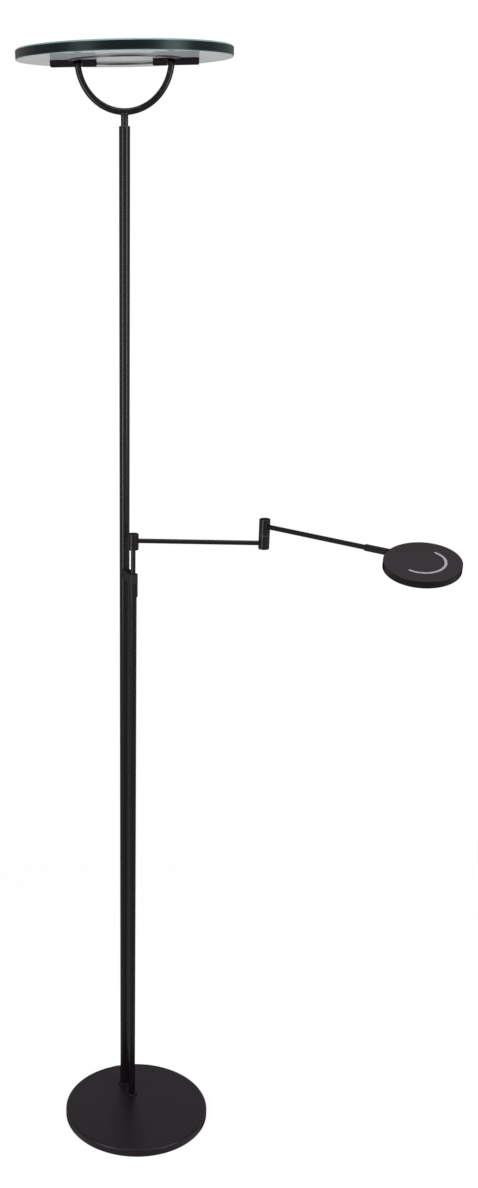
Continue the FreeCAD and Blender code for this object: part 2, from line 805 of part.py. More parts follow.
def arm_hub():
    """Hub that turns on the rod's spigot and carries the lower arm in a side socket."""
    r = hub_d / 2
    body = bevelled_rod(r, hub_foot_z, hub_top_z - hub_cap_t, hub_edge, 0, side_x, side_y)
    body = body.cut(rod(spigot_d / 2 + running_gap, hub_foot_z - 1, hub_top_z, side_x, side_y))
    body = body.cut(rod(hub_pocket_d / 2, hub_floor_z, hub_top_z, side_x, side_y))
    return body.cut(lower_arm_bar(arm_d / 2 + slip_gap))


def cap(z0, z1, r, plug_r, plug_l, edge, x, y):
    """Top cap with a bevelled rim and a plug that sits in the pocket below."""
    lid = bevelled_rod(r, z0, z1, 0, edge, x, y)
    return lid.fuse(rod(plug_r, z0 - plug_l, z0, x, y)).removeSplitter()


def hub_cap():
    z0 = hub_top_z - hub_cap_t
    return cap(z0, hub_top_z, hub_d / 2, hub_pocket_d / 2 - slip_gap, hub_cap_plug, hub_edge, side_x, side_y)


def lower_arm_bar(r):
    """Cylinder along the lower arm, from socket to socket."""
    start = hub_d / 2 - socket_depth
    end = arm_l - knuckle_d / 2 + socket_depth
    return spun(bar(r, start, end, 0, arm_z), arm_turn_deg, side_x, side_y)


def lower_arm():
    return lower_arm_bar(arm_d / 2).cut(lower_arm_bar(arm_d / 2 - arm_wall))


# Elbow


def elbow_screw_bar(r, start, end):
    """Cylinder into the knuckle from its side, at the set screw's heading."""
    return spun(bar(r, start, end, 0, elbow_screw_z), elbow_screw_turn_deg, elbow_x, elbow_y)


def knuckle_lower():
    """Lower half of the elbow: holds the lower arm and, fixed, the elbow's pin."""
    r = knuckle_d / 2
    body = bevelled_rod(r, knuckle_foot_z, knuckle_seam_z, knuckle_edge, 0, elbow_x, elbow_y)
    body = body.cut(rod(elbow_pin_d / 2, elbow_pin_foot_z, knuckle_seam_z + 1, elbow_x, elbow_y))
    body = body.cut(lower_arm_bar(arm_d / 2 + slip_gap))
    return body.cut(elbow_screw_bar(set_screw_d / 2, elbow_pin_d / 2, knuckle_d))


def elbow_set_screw():
    """Socket set screw that locks the pin in the lower half."""
    outer = knuckle_d / 2 - set_screw_sink - 0.5
    screw = elbow_screw_bar(set_screw_d / 2 - slip_gap, elbow_pin_d / 2, outer)
    return screw.cut(elbow_screw_bar(set_screw_d / 4, outer - 1.2, outer + 1))


def elbow_pin():
    """Steel pin on which the upper half turns, tapped at its top."""
    pin = bevelled_rod(elbow_pin_d / 2, elbow_pin_foot_z, elbow_hold_z, 0.4, 0, elbow_x, elbow_y)
    return pin.cut(rod(hold_screw_d / 2, elbow_hold_z - hold_screw_l, elbow_hold_z + 1, elbow_x, elbow_y))


def elbow_washer():
    z = knuckle_seam_z
    r_out = knuckle_d / 2 - 0.4
    return pipe(r_out, elbow_pin_d / 2 + slip_gap, z, z + elbow_washer_t, elbow_x, elbow_y)


def forearm_bar(r, start, end):
    """Cylinder along the upper arm."""
    return spun(bar(r, start, end, 0, forearm_z), forearm_turn_deg, elbow_x, elbow_y)


def upper_arm():
    """Drawn tube from the elbow to its seat in the sleeve."""
    start = knuckle_d / 2 - socket_depth
    end = sleeve_start + sleeve_seat
    return forearm_bar(forearm_d / 2, start, end).cut(forearm_bar(forearm_d / 2 - arm_wall, start, end))


def knuckle_upper():
    """Upper half of the elbow: turns on the pin and carries the upper arm."""
    r = knuckle_d / 2
    top = knuckle_top_z - elbow_cap_t
    body = rod(r, elbow_seat_z, top, elbow_x, elbow_y)
    body = body.cut(rod(elbow_pin_d / 2 + running_gap, elbow_seat_z - 1, top, elbow_x, elbow_y))
    body = body.cut(rod(hub_pocket_d / 2, elbow_floor_z, top + 1, elbow_x, elbow_y))
    start = knuckle_d / 2 - socket_depth
    return body.cut(forearm_bar(forearm_d / 2 + slip_gap, start, 2 * knuckle_d))


def knuckle_cap():
    z0 = knuckle_top_z - elbow_cap_t
    plug_r = hub_pocket_d / 2 - slip_gap
    return cap(z0, knuckle_top_z, knuckle_d / 2, plug_r, hub_cap_plug, knuckle_edge, elbow_x, elbow_y)


# Sleeve at the end of the upper arm


def roll_screw_bar(r, low, high):
    """Cylinder along Z at the roll screw, from one distance above the arm's axis to another."""
    screw = Part.makeCylinder(r, high - low, V(roll_screw_at, 0, forearm_z - high), UP)
    return spun(screw, forearm_turn_deg, elbow_x, elbow_y)


def head_sleeve():
    """Sleeve fixed on the arm's end; the reading head's neck turns in it."""
    body = bar(sleeve_d / 2, sleeve_start, sleeve_end, 0, forearm_z)
    body = body.makeChamfer(sleeve_edge, [e for e in body.Edges if len(e.Vertexes) == 1])
    body = body.cut(bar(forearm_d / 2 + running_gap, sleeve_start - 1, sleeve_end + 1, 0, forearm_z))
    body = spun(body, forearm_turn_deg, elbow_x, elbow_y)
    return body.cut(roll_screw_bar(roll_screw_d / 2, 0, sleeve_d))


def roll_screw():
    """Set screw under the sleeve whose tip runs in the neck's groove."""
    tip = forearm_d / 2 - groove_depth + face_gap
    outer = sleeve_d / 2 - set_screw_sink
    screw = roll_screw_bar(roll_screw_d / 2 - slip_gap, tip, outer)
    return screw.cut(roll_screw_bar(roll_screw_d / 4, outer - 0.6, outer + 1))


# Reading head, made level with the arm's end at the origin and the arm along +X


def pitched(shape):
    """Hung down from the line of the arm, about the arm's end."""
    copy = shape.copy()
    copy.rotate(V(0, 0, 0), V(0, 1, 0), head_pitch_deg)
    return copy


def head_place(shape):
    return arm_end_place(pitched(shape))


def arm_end_place(shape):
    """Rolled about the arm's axis, then set at the arm's end."""
    copy = shape.copy()
    copy.rotate(V(0, 0, 0), V(1, 0, 0), head_roll_deg)
    copy.rotate(V(0, 0, 0), UP, forearm_turn_deg)
    turn = radians(forearm_turn_deg)
    reach = sleeve_end
    copy.translate(V(elbow_x + reach * cos(turn), elbow_y + reach * sin(turn), forearm_z))
    return copy


head_x = head_stand_off + head_d / 2
head_low = head_top - head_h
roof_low = head_top - head_roof
spreader_top = roof_low - arc_flange_t
spreader_low = spreader_top - spreader_t
lens_r = head_d / 2 - head_wall - slip_gap
spreader_r = head_d / 2 - head_wall - lens_lip - spreader_play
head_screw_r = spreader_r - head_screw_edge
head_board_r = head_screw_r - head_screw_head_d / 2 - head_board_play


def head_disc(r, z0, z1):
    return rod(r, z0, z1, head_x)


def arc_sector(r_in, r_out, z0, z1):
    """Upright half ring on the side away from the arm, with round ends."""
    band = pipe(r_out, r_in, z0, z1)
    far = 2 * r_out
    keep = block(0, far, -far, far, z0, z1)
    if arc_half_deg != 90.0:
        half = radians(arc_half_deg)
        corners = [
            V(0, 0, z0),
            V(far * cos(half), -far * sin(half), z0),
            V(far, -far, z0),
            V(far, far, z0),
            V(far * cos(half), far * sin(half), z0),
            V(0, 0, z0),
        ]
        keep = Part.Face(Part.makePolygon(corners)).extrude(V(0, 0, z1 - z0))
    band = band.common(keep)
    mid = (r_in + r_out) / 2
    half = radians(arc_half_deg)
    ends = [rod((r_out - r_in) / 2, z0, z1, mid * cos(half), side * mid * sin(half)) for side in (-1, 1)]
    band = band.fuse(ends).removeSplitter()
    band.translate(V(head_x, 0, 0))
    return band


def screw_places():
    """Centres of the head's inner screws, on a circle and clear of the arm side."""
    step = 360.0 / head_screw_count
    for k in range(head_screw_count):
        a = radians(60 + k * step)
        yield head_x + head_screw_r * cos(a), head_screw_r * sin(a)


def reading_head_shell():
    """Flat round cup, open below, with an arc slot in its top and a step for the lens."""
    r = head_d / 2
    shell = bevelled_rod(r, head_low, head_top, 0.4, head_edge, head_x)
    shell = shell.cut(head_disc(r - head_wall - lens_lip, head_low, roof_low))
    shell = shell.cut(head_disc(r - head_wall, head_low - 1, head_low + lens_t))
    for x, y in screw_places():
        shell = shell.fuse(rod(head_boss_d / 2, spreader_top, roof_low, x, y))
        shell = shell.cut(rod(head_screw_d / 2, spreader_top - 1, roof_low, x, y))
    half = arc_w / 2
    shell = shell.cut(arc_sector(arc_r - half, arc_r + half, roof_low - 1, head_top + 1))
    neck_hole = bar(forearm_d / 2, 0, head_stand_off + head_wall + 1, 0, 0)
    return head_place(shell.cut(neck_hole))


def arc_window():
    """Pale insert in the arc slot, with a flange under the roof."""
    half = arc_w / 2
    band = arc_sector(arc_r - half, arc_r + half, roof_low, head_top - arc_sink)
    flange = arc_sector(arc_r - half - arc_flange, arc_r + half + arc_flange, spreader_top, roof_low)
    return head_place(band.fuse(flange).removeSplitter())


def heat_spreader():
    """Aluminium disc under the roof that takes the board's heat."""
    disc = head_disc(spreader_r, spreader_low, spreader_top)
    for x, y in screw_places():
        disc = disc.cut(rod(head_screw_d / 2 + slip_gap, spreader_low - 1, spreader_top + 1, x, y))
    return head_place(disc)


def reading_led_board():
    return head_place(head_disc(head_board_r, spreader_low - head_board_t, spreader_low))


def head_screws():
    """Screws that hold the spreader up to the shell's bosses."""
    group = []
    for x, y in screw_places():
        low = spreader_low - head_screw_head_h
        head = bevelled_rod(head_screw_head_d / 2, low, spreader_low, 0.5, 0, x, y)
        shank = rod(head_screw_d / 2, spreader_low, roof_low - 0.2, x, y)
        group.append(head_place(head.fuse(shank).removeSplitter()))
    return Part.makeCompound(group)


def reading_lens():
    """Opal lens in the shell's mouth, standing a little proud of it."""
    plate = head_disc(lens_r, head_low, head_low + lens_t)
    proud = bevelled_rod(lens_r - 1.0, head_low - lens_proud, head_low, lens_edge, 0, head_x)
    return head_place(plate.fuse(proud).removeSplitter())


def head_neck():
    """Neck of the reading head: a journal in the sleeve, bent down into the head's rim."""
    journal_r = forearm_d / 2
    start = sleeve_start + sleeve_seat + neck_end_gap - sleeve_end
    journal = bar(journal_r, start, 0)
    groove_x = roll_screw_at - sleeve_end
    groove = bar(journal_r + 1, groove_x - roll_groove_w / 2, groove_x + roll_groove_w / 2)
    groove = groove.cut(bar(journal_r - groove_depth, groove_x - roll_groove_w, groove_x + roll_groove_w))
    journal = journal.cut(groove)
    inner = head_stand_off + head_wall + 1
    neck = journal.fuse([Part.makeSphere(journal_r), pitched(bar(journal_r, 0, inner))]).removeSplitter()
    bore_r = journal_r - head_neck_wall
    neck = neck.cut(bar(bore_r, start - 1, 0))
    neck = neck.cut(pitched(bar(bore_r, -1, inner + 1)))
    lens_room = head_disc(lens_r + slip_gap, head_low - 1, head_low + lens_t + slip_gap)
    return arm_end_place(neck.cut(pitched(lens_room)))


pivot_right = pivot_block_right()
screws = [tilt_screw(), mirrored_x(tilt_screw())]
washers = tilt_washers() + [mirrored_x(w) for w in tilt_washers()]
glass_places = [side * x for x in glass_screw_x for side in (-1, 1)]

pieces = {
    "base_pad": base_pad(),
    "base_weight": base_weight(),
    "base_cover": base_cover(),
    "led_driver": led_driver(),
    "cable_gland": cable_gland(),
    "main_pole_stud": foot_stud(pole_bore_r, main_thread_d, 0, pole_y),
    "side_tube_stud": foot_stud(side_bore_r, side_thread_d, side_x, side_y),
    "foot_washers": Part.makeCompound([
        foot_washer(main_nut_af, main_thread_d, 0, pole_y),
        foot_washer(side_nut_af, side_thread_d, side_x, side_y),
    ]),
    "foot_nuts": Part.makeCompound([
        foot_nut(main_nut_af, main_thread_d, 0, pole_y),
        foot_nut(side_nut_af, side_thread_d, side_x, side_y),
    ]),
    "main_collar": foot_collar(main_collar_d, pole_d, 0, pole_y),
    "side_collar": foot_collar(side_collar_d, side_d, side_x, side_y),
    "main_pole_lower": upright(pole_d, pole_wall, base_h, tube_joint_z, 0, joint_bevel, 0, pole_y),
    "main_pole_joiner": joiner(pole_bore_r, 0, pole_y),
    "main_pole_upper": main_pole_upper(),
    "main_lead": main_lead(),
    "side_tube_lower": upright(side_d, side_wall, base_h, tube_joint_z, 0, joint_bevel, side_x, side_y),
    "side_tube_joiner": joiner(side_bore_r, side_x, side_y),
    "side_tube_upper": upright(side_d, side_wall, tube_joint_z, side_top_z, joint_bevel, 0, side_x, side_y),
    "arm_bracket": arm_bracket(),
    "bracket_screw": bracket_screw(),
    "bracket_set_screw": bracket_set_screw(),
    "rod_guide_bush": rod_guide_bush(),
    "pole_top_bush": pole_top_bush(),
    "neck_pin": neck_pin(),
    "neck_circlip": neck_circlip(),
    "yoke_bow": yoke_bow(),
    "pivot_block_right": leaned(pivot_right),
    "pivot_block_left": leaned(mirrored_x(pivot_right)),
    "tilt_screws": Part.makeCompound([leaned(s) for s in screws]),
    "tilt_washers": Part.makeCompound([leaned(w) for w in washers]),
    "led_carrier_ring": leaned(led_carrier_ring()),
    "led_board": leaned(led_board()),
    "glass_disc": leaned(glass_disc()),
    "glass_washers": Part.makeCompound([leaned(glass_washer(x)) for x in glass_places]),
    "glass_screws": Part.makeCompound([leaned(glass_screw(x)) for x in glass_places]),
    "lift_rod": lift_rod(),
    "rod_stop": rod_stop(),
    "thrust_washer": thrust_washer(),
    "swing_screw": hold_screw(hold_z, side_x, side_y),
    "arm_hub": arm_hub(),
    "hub_cap": hub_cap(),
    "lower_arm": lower_arm(),
    "knuckle_lower": knuckle_lower(),
    "elbow_set_screw": elbow_set_screw(),
    "elbow_pin": elbow_pin(),
    "elbow_washer": elbow_washer(),
    "elbow_screw": hold_screw(elbow_hold_z, elbow_x, elbow_y),
    "knuckle_upper": knuckle_upper(),
    "knuckle_cap": knuckle_cap(),
    "upper_arm": upper_arm(),
    "head_sleeve": head_sleeve(),
    "roll_screw": roll_screw(),
    "head_neck": head_neck(),
    "reading_head_shell": reading_head_shell(),
    "arc_window": arc_window(),
    "heat_spreader": heat_spreader(),
    "reading_led_board": reading_led_board(),
    "head_screws": head_screws(),
    "reading_lens": reading_lens(),
}

os.makedirs("parts", exist_ok=True)
for name, shape in pieces.items():
    for solid in shape.Solids:
        assert solid.isValid() and solid.Volume > 0, name
    shape.exportStep("parts/" + name + ".step")
    print(name, len(shape.Solids), round(shape.Volume / 1000, 3), "cm3")
print(len(pieces), "nodes")
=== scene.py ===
# %% [markdown]
# # A torchiere floor lamp with a reading arm
#
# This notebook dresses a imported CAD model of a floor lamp. The CAD model fixes every size and
# joint. Each step below looks at one piece or finish of the real lamp, says how it could be made,
# and why one way was chosen. All lengths are in metres. The origin is the centre of the round
# base, on the floor, and +Z is up.

# %% Load the fixed frame
import json
import math

import bmesh
import bpy
from mathutils import Matrix, Vector


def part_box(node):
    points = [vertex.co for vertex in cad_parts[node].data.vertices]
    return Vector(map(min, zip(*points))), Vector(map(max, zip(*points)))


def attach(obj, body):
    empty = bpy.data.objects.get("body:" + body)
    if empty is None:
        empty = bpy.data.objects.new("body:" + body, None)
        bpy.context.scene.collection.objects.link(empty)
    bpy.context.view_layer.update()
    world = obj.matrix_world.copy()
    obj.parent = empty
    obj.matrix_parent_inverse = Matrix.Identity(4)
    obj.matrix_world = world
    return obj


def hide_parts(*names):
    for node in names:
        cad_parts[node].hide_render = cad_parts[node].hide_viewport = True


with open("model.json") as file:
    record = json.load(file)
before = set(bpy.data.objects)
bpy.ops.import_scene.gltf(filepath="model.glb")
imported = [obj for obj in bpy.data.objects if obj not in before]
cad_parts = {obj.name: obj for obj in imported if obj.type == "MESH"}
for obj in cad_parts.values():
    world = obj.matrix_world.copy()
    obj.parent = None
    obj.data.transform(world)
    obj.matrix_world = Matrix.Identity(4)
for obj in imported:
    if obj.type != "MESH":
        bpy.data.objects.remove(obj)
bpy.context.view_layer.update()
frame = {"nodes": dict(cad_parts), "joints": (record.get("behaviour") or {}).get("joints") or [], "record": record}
joints = {joint["name"]: joint for joint in frame["joints"]}

# %% [markdown]
# ## The camera
#
# The lamp was photographed from in front and from its left, by a camera about 1.7 m high that
# looks down by 24 degrees. The lens was found by fitting ellipses to the base, the glass disc and
# the reading head. The tall frame is kept by a shift of the sensor, as a view camera does it, so
# the upright tubes lean only a little. From where it stands, the side tube just overlaps the pole
# behind it, and no light passes between the two.

# %% Camera
camera_place = Vector((-0.6758, -2.1273, 1.7116))
camera_turn = (math.radians(66.17), 0.0, math.radians(-17.03))
camera_data = bpy.data.cameras.new("photo_camera")
camera_data.sensor_width = 36.0
camera_data.sensor_fit = "AUTO"
camera_data.lens = 41.36
camera_data.shift_x = 0.0962
camera_data.shift_y = 0.1566
camera_data.clip_start = 0.05
camera_data.clip_end = 50.0
camera = bpy.data.objects.new("photo_camera", camera_data)
camera.location = camera_place
camera.rotation_euler = camera_turn
bpy.context.scene.collection.objects.link(camera)
bpy.context.scene.camera = camera
print("camera", round(camera_place.length, 3), "m from the centre of the base")

# %% [markdown]
# ## Shader maths as Python
#
# A finish is a small network of nodes. Wiring each one by hand hides the idea behind it. Here one
# class wraps a socket and understands +, - and *, so a mask can be written as `1 - worn * 0.5`.
# Any other node comes from one method of the finish that owns the tree.


# %% A socket that does sums
class Signal:
    """An output socket of a node tree, usable in sums."""

    def __init__(self, wiring, socket):
        self.wiring = wiring
        self.socket = socket

    def _sum(self, operation, a, b):
        """One Math node."""
        return self.wiring.node("ShaderNodeMath", {"operation": operation}, {0: a, 1: b})

    def __add__(self, other):
        return self._sum("ADD", self, other)

    def __sub__(self, other):
        return self._sum("SUBTRACT", self, other)

    def __rsub__(self, other):
        return self._sum("SUBTRACT", other, self)

    def __mul__(self, other):
        return self._sum("MULTIPLY", self, other)

    def output(self, name):
        """Another output of the same node."""
        return Signal(self.wiring, self.socket.node.outputs[name])


# %% One way to add any node
class Wiring:
    """A node tree, and the method that adds nodes to it."""

    def __init__(self, tree):
        self.tree = tree

    def node(self, kind, settings=None, inputs=None):
        """Adds a node, sets it up, feeds its sockets and gives back its first output."""
        made = self.tree.nodes.new(kind)
        for key, value in (settings or {}).items():
            setattr(made, key, value)
        for key, value in (inputs or {}).items():
            self.feed(made.inputs[key], value)
        return Signal(self, made.outputs[0])

    def feed(self, socket, value):
        """Links a signal to a socket, or sets the socket's value."""
        if isinstance(value, Signal):
            self.tree.links.new(value.socket, socket)
        else:
            socket.default_value = value


class Finish(Wiring):
    """A material with one Principled shader, whose sockets take plain numbers by name."""

    def __init__(self, name, **plain):
        self.material = bpy.data.materials.new(name)
        self.material.use_nodes = True
        super().__init__(self.material.node_tree)
        self.shader = next(n for n in self.tree.nodes if n.type == "BSDF_PRINCIPLED")
        for socket, value in plain.items():
            self.shader.inputs[socket.replace("_", " ")].default_value = value

    def set(self, name, value):
        """Gives one of the shader's own sockets a value or a signal."""
        self.feed(self.shader.inputs[name], value)

    def place(self, scale=(1, 1, 1)):
        """Object coordinates, which may be stretched."""
        where = self.node("ShaderNodeTexCoord").output("Object")
        return self.node("ShaderNodeMapping", {}, {"Vector": where, "Scale": scale})

    def noise(self, where, per_metre, detail=3.0, rough=0.5):
        """Soft noise from 0 to 1, with that many bumps to the metre."""
        return self.node(
            "ShaderNodeTexNoise",
            {},
            {"Vector": where, "Scale": per_metre, "Detail": detail, "Roughness": rough},
        )

    def mix(self, factor, first, second):
        """Blends two colours."""
        colours = {0: factor, 6: first, 7: second}
        made = self.node("ShaderNodeMix", {"data_type": "RGBA"}, colours)
        return Signal(self, made.socket.node.outputs[2])

    def glossy(self):
        """The Principled shader's own light."""
        return Signal(self, self.shader.outputs[0])

    def end(self, surface, volume=None):
        """Sets what the material gives out."""
        out = next(n for n in self.tree.nodes if n.type == "OUTPUT_MATERIAL")
        self.feed(out.inputs["Surface"], surface)
        if volume:
            self.feed(out.inputs["Volume"], volume)

    def bump(self, height, strength, depth):
        """Turns a height into a normal."""
        return self.node(
            "ShaderNodeBump",
            {},
            {"Height": height, "Strength": strength, "Distance": depth},
        )

    def blend(self, share, first, second):
        """Mixes two kinds of scattered light."""
        return self.node("ShaderNodeMixShader", {}, {0: share, 1: first, 2: second})

    def matt(self, colour):
        """Plain scattering with no gloss."""
        return self.node("ShaderNodeBsdfDiffuse", {}, {"Color": colour})


# %% Screen colours
def linear(level):
    """One screen value from 0 to 255 in linear light."""
    v = level / 255
    return v / 12.92 if v <= 0.04045 else ((v + 0.055) / 1.055) ** 2.4


def shade(*levels):
    """A colour as a painter reads it off a screen, in the shader's linear light."""
    return (*[linear(level) for level in levels], 1.0)


print("satin black in linear light", [round(v, 4) for v in shade(43, 41, 43)[:3]])

# %% [markdown]
# ## Powder coat
#
# Poles, bow, hubs and arms are steel with a satin black powder coat. Baked powder never lies
# quite flat: it has a fine orange peel and slow changes of gloss. Both could be painted on a
# texture, but noise on Object coordinates needs no picture and keeps its grain the same size on a
# thin arm and on a thick pole. At a glancing angle real powder loses some gloss in its own
# roughness, and the shader would brighten there instead, so a matt coat of the same colour takes
# over at the edges. This darkening of the edges is partly that real loss of gloss and partly
# painted shade, standing in for darker surroundings mirrored in the edges.


# %% Coats of black
slow_per_metre = 14.0
dull_and_painted_shade_from, dull_and_painted_shade_to = 0.42, 0.82


def black_coat(name, tone, rough, peel_per_metre, peel_depth, sheen):
    """Powder coat: slow changes of tone and gloss, and a fine peel in relief."""
    coat = Finish(name, Specular_IOR_Level=sheen)
    where = coat.place()
    slow = coat.noise(where, slow_per_metre)
    fine = coat.noise(where, peel_per_metre, 2.0, 0.6)
    dark = shade(*[v * 0.9 for v in tone])
    light = shade(*[min(255, v * 1.1 + 2) for v in tone])
    colour = coat.mix(slow * 0.55 + fine * 0.45, dark, light)
    coat.set("Base Color", colour)
    coat.set("Roughness", (slow - 0.5) * 0.12 + (fine - 0.5) * 0.1 + rough)
    coat.set("Normal", coat.bump(fine, 0.5, peel_depth))
    # Matt share at glancing angles: partly real loss of gloss, partly painted shade on the edges.
    glancing = coat.node("ShaderNodeLayerWeight", {}, {"Blend": 0.5}).output("Facing")
    share = coat.node(
        "ShaderNodeMapRange",
        {"interpolation_type": "SMOOTHSTEP"},
        {"Value": glancing, "From Min": dull_and_painted_shade_from, "From Max": dull_and_painted_shade_to},
    )
    coat.end(coat.blend(share, coat.glossy(), coat.matt(colour)))
    return coat.material


satin_coat = black_coat("satin_black_powder_coat", (10, 6, 10), 0.3, 1400.0, 30e-6, 0.1)
base_coat = black_coat("fine_textured_black_coat", (15, 10, 15), 0.36, 900.0, 50e-6, 0.1)
head_coat = black_coat("soft_black_head_coat", (24, 20, 23), 0.5, 1100.0, 50e-6, 0.07)
# A darker copy of the head coat: painted shade on the head's wall.
shaded_wall_coat = black_coat("deep_black_head_wall", (9, 6, 8), 0.4, 1100.0, 50e-6, 0.07)
bracket_plastic = black_coat("moulded_brownish_black", (19, 17, 16), 0.5, 1600.0, 40e-6, 0.08)
coats = (satin_coat, base_coat, head_coat, shaded_wall_coat, bracket_plastic)
print("coats", [m.name for m in coats])

# %% [markdown]
# ## Metals, rubber and boards inside
#
# Fasteners show only in joints and from below, yet each has its own finish: bright zinc, black
# oxide, turned or extruded aluminium, iron as it left the mould. One recipe serves them all, with
# two tones that noise blends, a gloss that follows the same noise, and a relief. Turning marks
# come from noise that is squeezed along one axis.


# %% Plain finishes
def two_tone(name, dark, light, rough, spread, per_metre, depth, stretch=(1, 1, 1), **plain):
    """Two tones blended by noise, which also moves the gloss and gives the relief."""
    finish = Finish(name, **plain)
    grain = finish.noise(finish.place(scale=stretch), per_metre, 4.0, 0.6)
    finish.set("Base Color", finish.mix(grain, shade(*dark), shade(*light)))
    finish.set("Roughness", (grain - 0.5) * spread + rough)
    finish.set("Normal", finish.bump(grain, 0.4, depth))
    return finish.material


zinc = two_tone(
    "bright_zinc", (150, 152, 150), (196, 198, 194), 0.3, 0.2, 300.0, 30e-6, Metallic=1.0
)
oxide = two_tone(
    "black_oxide", (26, 26, 28), (44, 44, 46), 0.38, 0.2, 600.0, 30e-6, Metallic=0.6
)
squeezed_in_z = (1, 1, 30)
aluminium = two_tone(
    "drawn_aluminium",
    (168, 169, 172),
    (202, 203, 205),
    0.36,
    0.2,
    40.0,
    30e-6,
    squeezed_in_z,
    Metallic=1.0,
)
black_anodised = two_tone(
    "black_anodised", (22, 22, 24), (34, 34, 36), 0.4, 0.15, 500.0, 20e-6, Metallic=0.3
)
cast_iron = two_tone(
    "oiled_cast_iron", (46, 45, 43), (74, 72, 68), 0.62, 0.2, 500.0, 400e-6, Metallic=0.5
)
pad_rubber = two_tone("pad_rubber", (24, 24, 24), (38, 38, 38), 0.82, 0.15, 700.0, 100e-6)
lead_sheath = two_tone("lead_sheath", (22, 22, 22), (32, 32, 32), 0.5, 0.1, 200.0, 30e-6)
moulded_black = two_tone(
    "moulded_black",
    (20, 20, 21),
    (28, 28, 29),
    0.5,
    0.14,
    1500.0,
    40e-6,
    Specular_IOR_Level=0.2,
)
nylon = two_tone("dark_nylon", (34, 34, 34), (50, 50, 50), 0.45, 0.1, 400.0, 30e-6)
driver_case = two_tone(
    "white_driver_case", (205, 205, 200), (222, 222, 217), 0.5, 0.1, 900.0, 50e-6
)
opal = two_tone("opal_lens", (226, 226, 222), (236, 236, 232), 0.32, 0.06, 60.0, 20e-6)
window_grey = two_tone(
    "pale_grey_window",
    (110, 106, 109),
    (122, 118, 121),
    0.4,
    0.08,
    500.0,
    20e-6,
    Specular_IOR_Level=0.2,
)
print("plain finishes", len(bpy.data.materials))

# %% [markdown]
# ## The light boards
#
# A board is white solder mask over fibreglass, with a faint weave and a warmer tint where copper
# runs beneath it. Its diodes are separate pieces below. Two crossed waves give the weave.

# %% Circuit board
board_finish = Finish("white_circuit_board")
board_at = board_finish.place()
weave = {"Vector": board_at, "Scale": 320.0, "Distortion": 0.4}
weave_x, weave_y = (
    board_finish.node("ShaderNodeTexWave", {"bands_direction": way}, weave).output("Fac")
    for way in "XY"
)
board_tone = weave_x * 0.3 + weave_y * 0.3 + board_finish.noise(board_at, 90.0) * 0.4
warm_mask, white_mask = shade(206, 204, 190), shade(232, 232, 226)
board_finish.set("Base Color", board_finish.mix(board_tone, warm_mask, white_mask))
board_finish.set("Roughness", board_tone * 0.15 + 0.4)
board_finish.set("Normal", board_finish.bump(weave_x + weave_y, 0.2, 30e-6))
circuit_board = board_finish.material

phosphor = two_tone(
    "diode_phosphor", (214, 196, 92), (236, 220, 128), 0.3, 0.1, 1500.0, 30e-6
)
print("boards", [m.name for m in (circuit_board, phosphor)])

# %% [markdown]
# ## Glass
#
# The disc is float glass, which is faintly green. Across its thickness it looks clear, but along
# its width light is swallowed over a third of a metre, so the rim turns a dark teal. Painting
# that on would slide when the view changes, so a true absorbing volume does it from every side.
# Seen at a glancing angle the underside mirrors the white studio. In the picture that mirror is
# weaker than the shader's own and washed with grey, the rim is darker towards its ends, and the
# ground bevels are paler. So each glass has a matt share mixed in, which grows with the mirror
# from a fixed part. On the clear faces it is a painted grey reflection in place of part of the
# mirror, on the rim it is painted shade, and on the ground bevels it is the real scatter of a
# ground face.


# %% Clear, rim and ground glass
glass_index = 1.52
painted_reflection_lead, painted_reflection_lag = 1.45, 0.5
white = (1.0, 1.0, 1.0, 1.0)
faint_green = (0.97, 1.0, 0.99, 1.0)
mirror_tint = (0.3, 0.42, 0.42, 1.0)
let_through = {"Color": (0.2, 0.45, 0.43, 1.0), "Density": 20.0}


def glass(name, rough, haze_per_metre, painted_reflection_and_scatter, painted_reflection_growth, painted_shade_and_scatter_least):
    """Green glass with a matt share that grows with the mirror of the surface; the share is painted reflection and
    shade on clear faces and the rim, and real scatter on ground faces.
    """
    finish = Finish(name, Transmission_Weight=1.0, IOR=glass_index, Specular_Tint=mirror_tint)
    haze = finish.noise(finish.place(), haze_per_metre, 3.0, 0.6)
    finish.set("Base Color", finish.mix(haze, faint_green, white))
    finish.set("Roughness", haze * rough * 0.4 + rough * 0.8)
    body = finish.node("ShaderNodeVolumeAbsorption", {}, let_through)
    gloss = finish.node("ShaderNodeFresnel", {}, {"IOR": glass_index})
    share = gloss * gloss * (painted_reflection_lead - gloss * painted_reflection_lag) * painted_reflection_growth + painted_shade_and_scatter_least
    finish.end(finish.blend(share, finish.glossy(), finish.matt(shade(*painted_reflection_and_scatter))), body)
    return finish.material


# Clear faces get a painted grey reflection, the rim painted shade, the ground bevels real scatter.
clear_glass = glass("clear_float_glass", 0.004, 30.0, (134, 137, 137), 1.3, 0.0)
rim_glass = glass("polished_glass_rim", 0.3, 60.0, (13, 15, 16), 0.55, 0.6)
ground_glass = glass("ground_glass_edge", 0.35, 900.0, (120, 158, 154), 0.0, 0.35)
print("glass", [m.name for m in (clear_glass, rim_glass, ground_glass)])

# %% [markdown]
# ## Turning a profile
#
# Most of this lamp is turned on a lathe or drawn as tube, so most pieces are a profile spun about
# an axis. Blender has a Screw modifier for that, but a few lines of mesh code give closed solids
# with faces that point outwards. Sharp corners look false, so a helper rounds the corners of a
# profile first. It also puts a ring close to each end of a fillet, which keeps the long walls
# beside it truly straight in the shading.


# %% Rounding a profile
ring_beside_fillet = 0.3


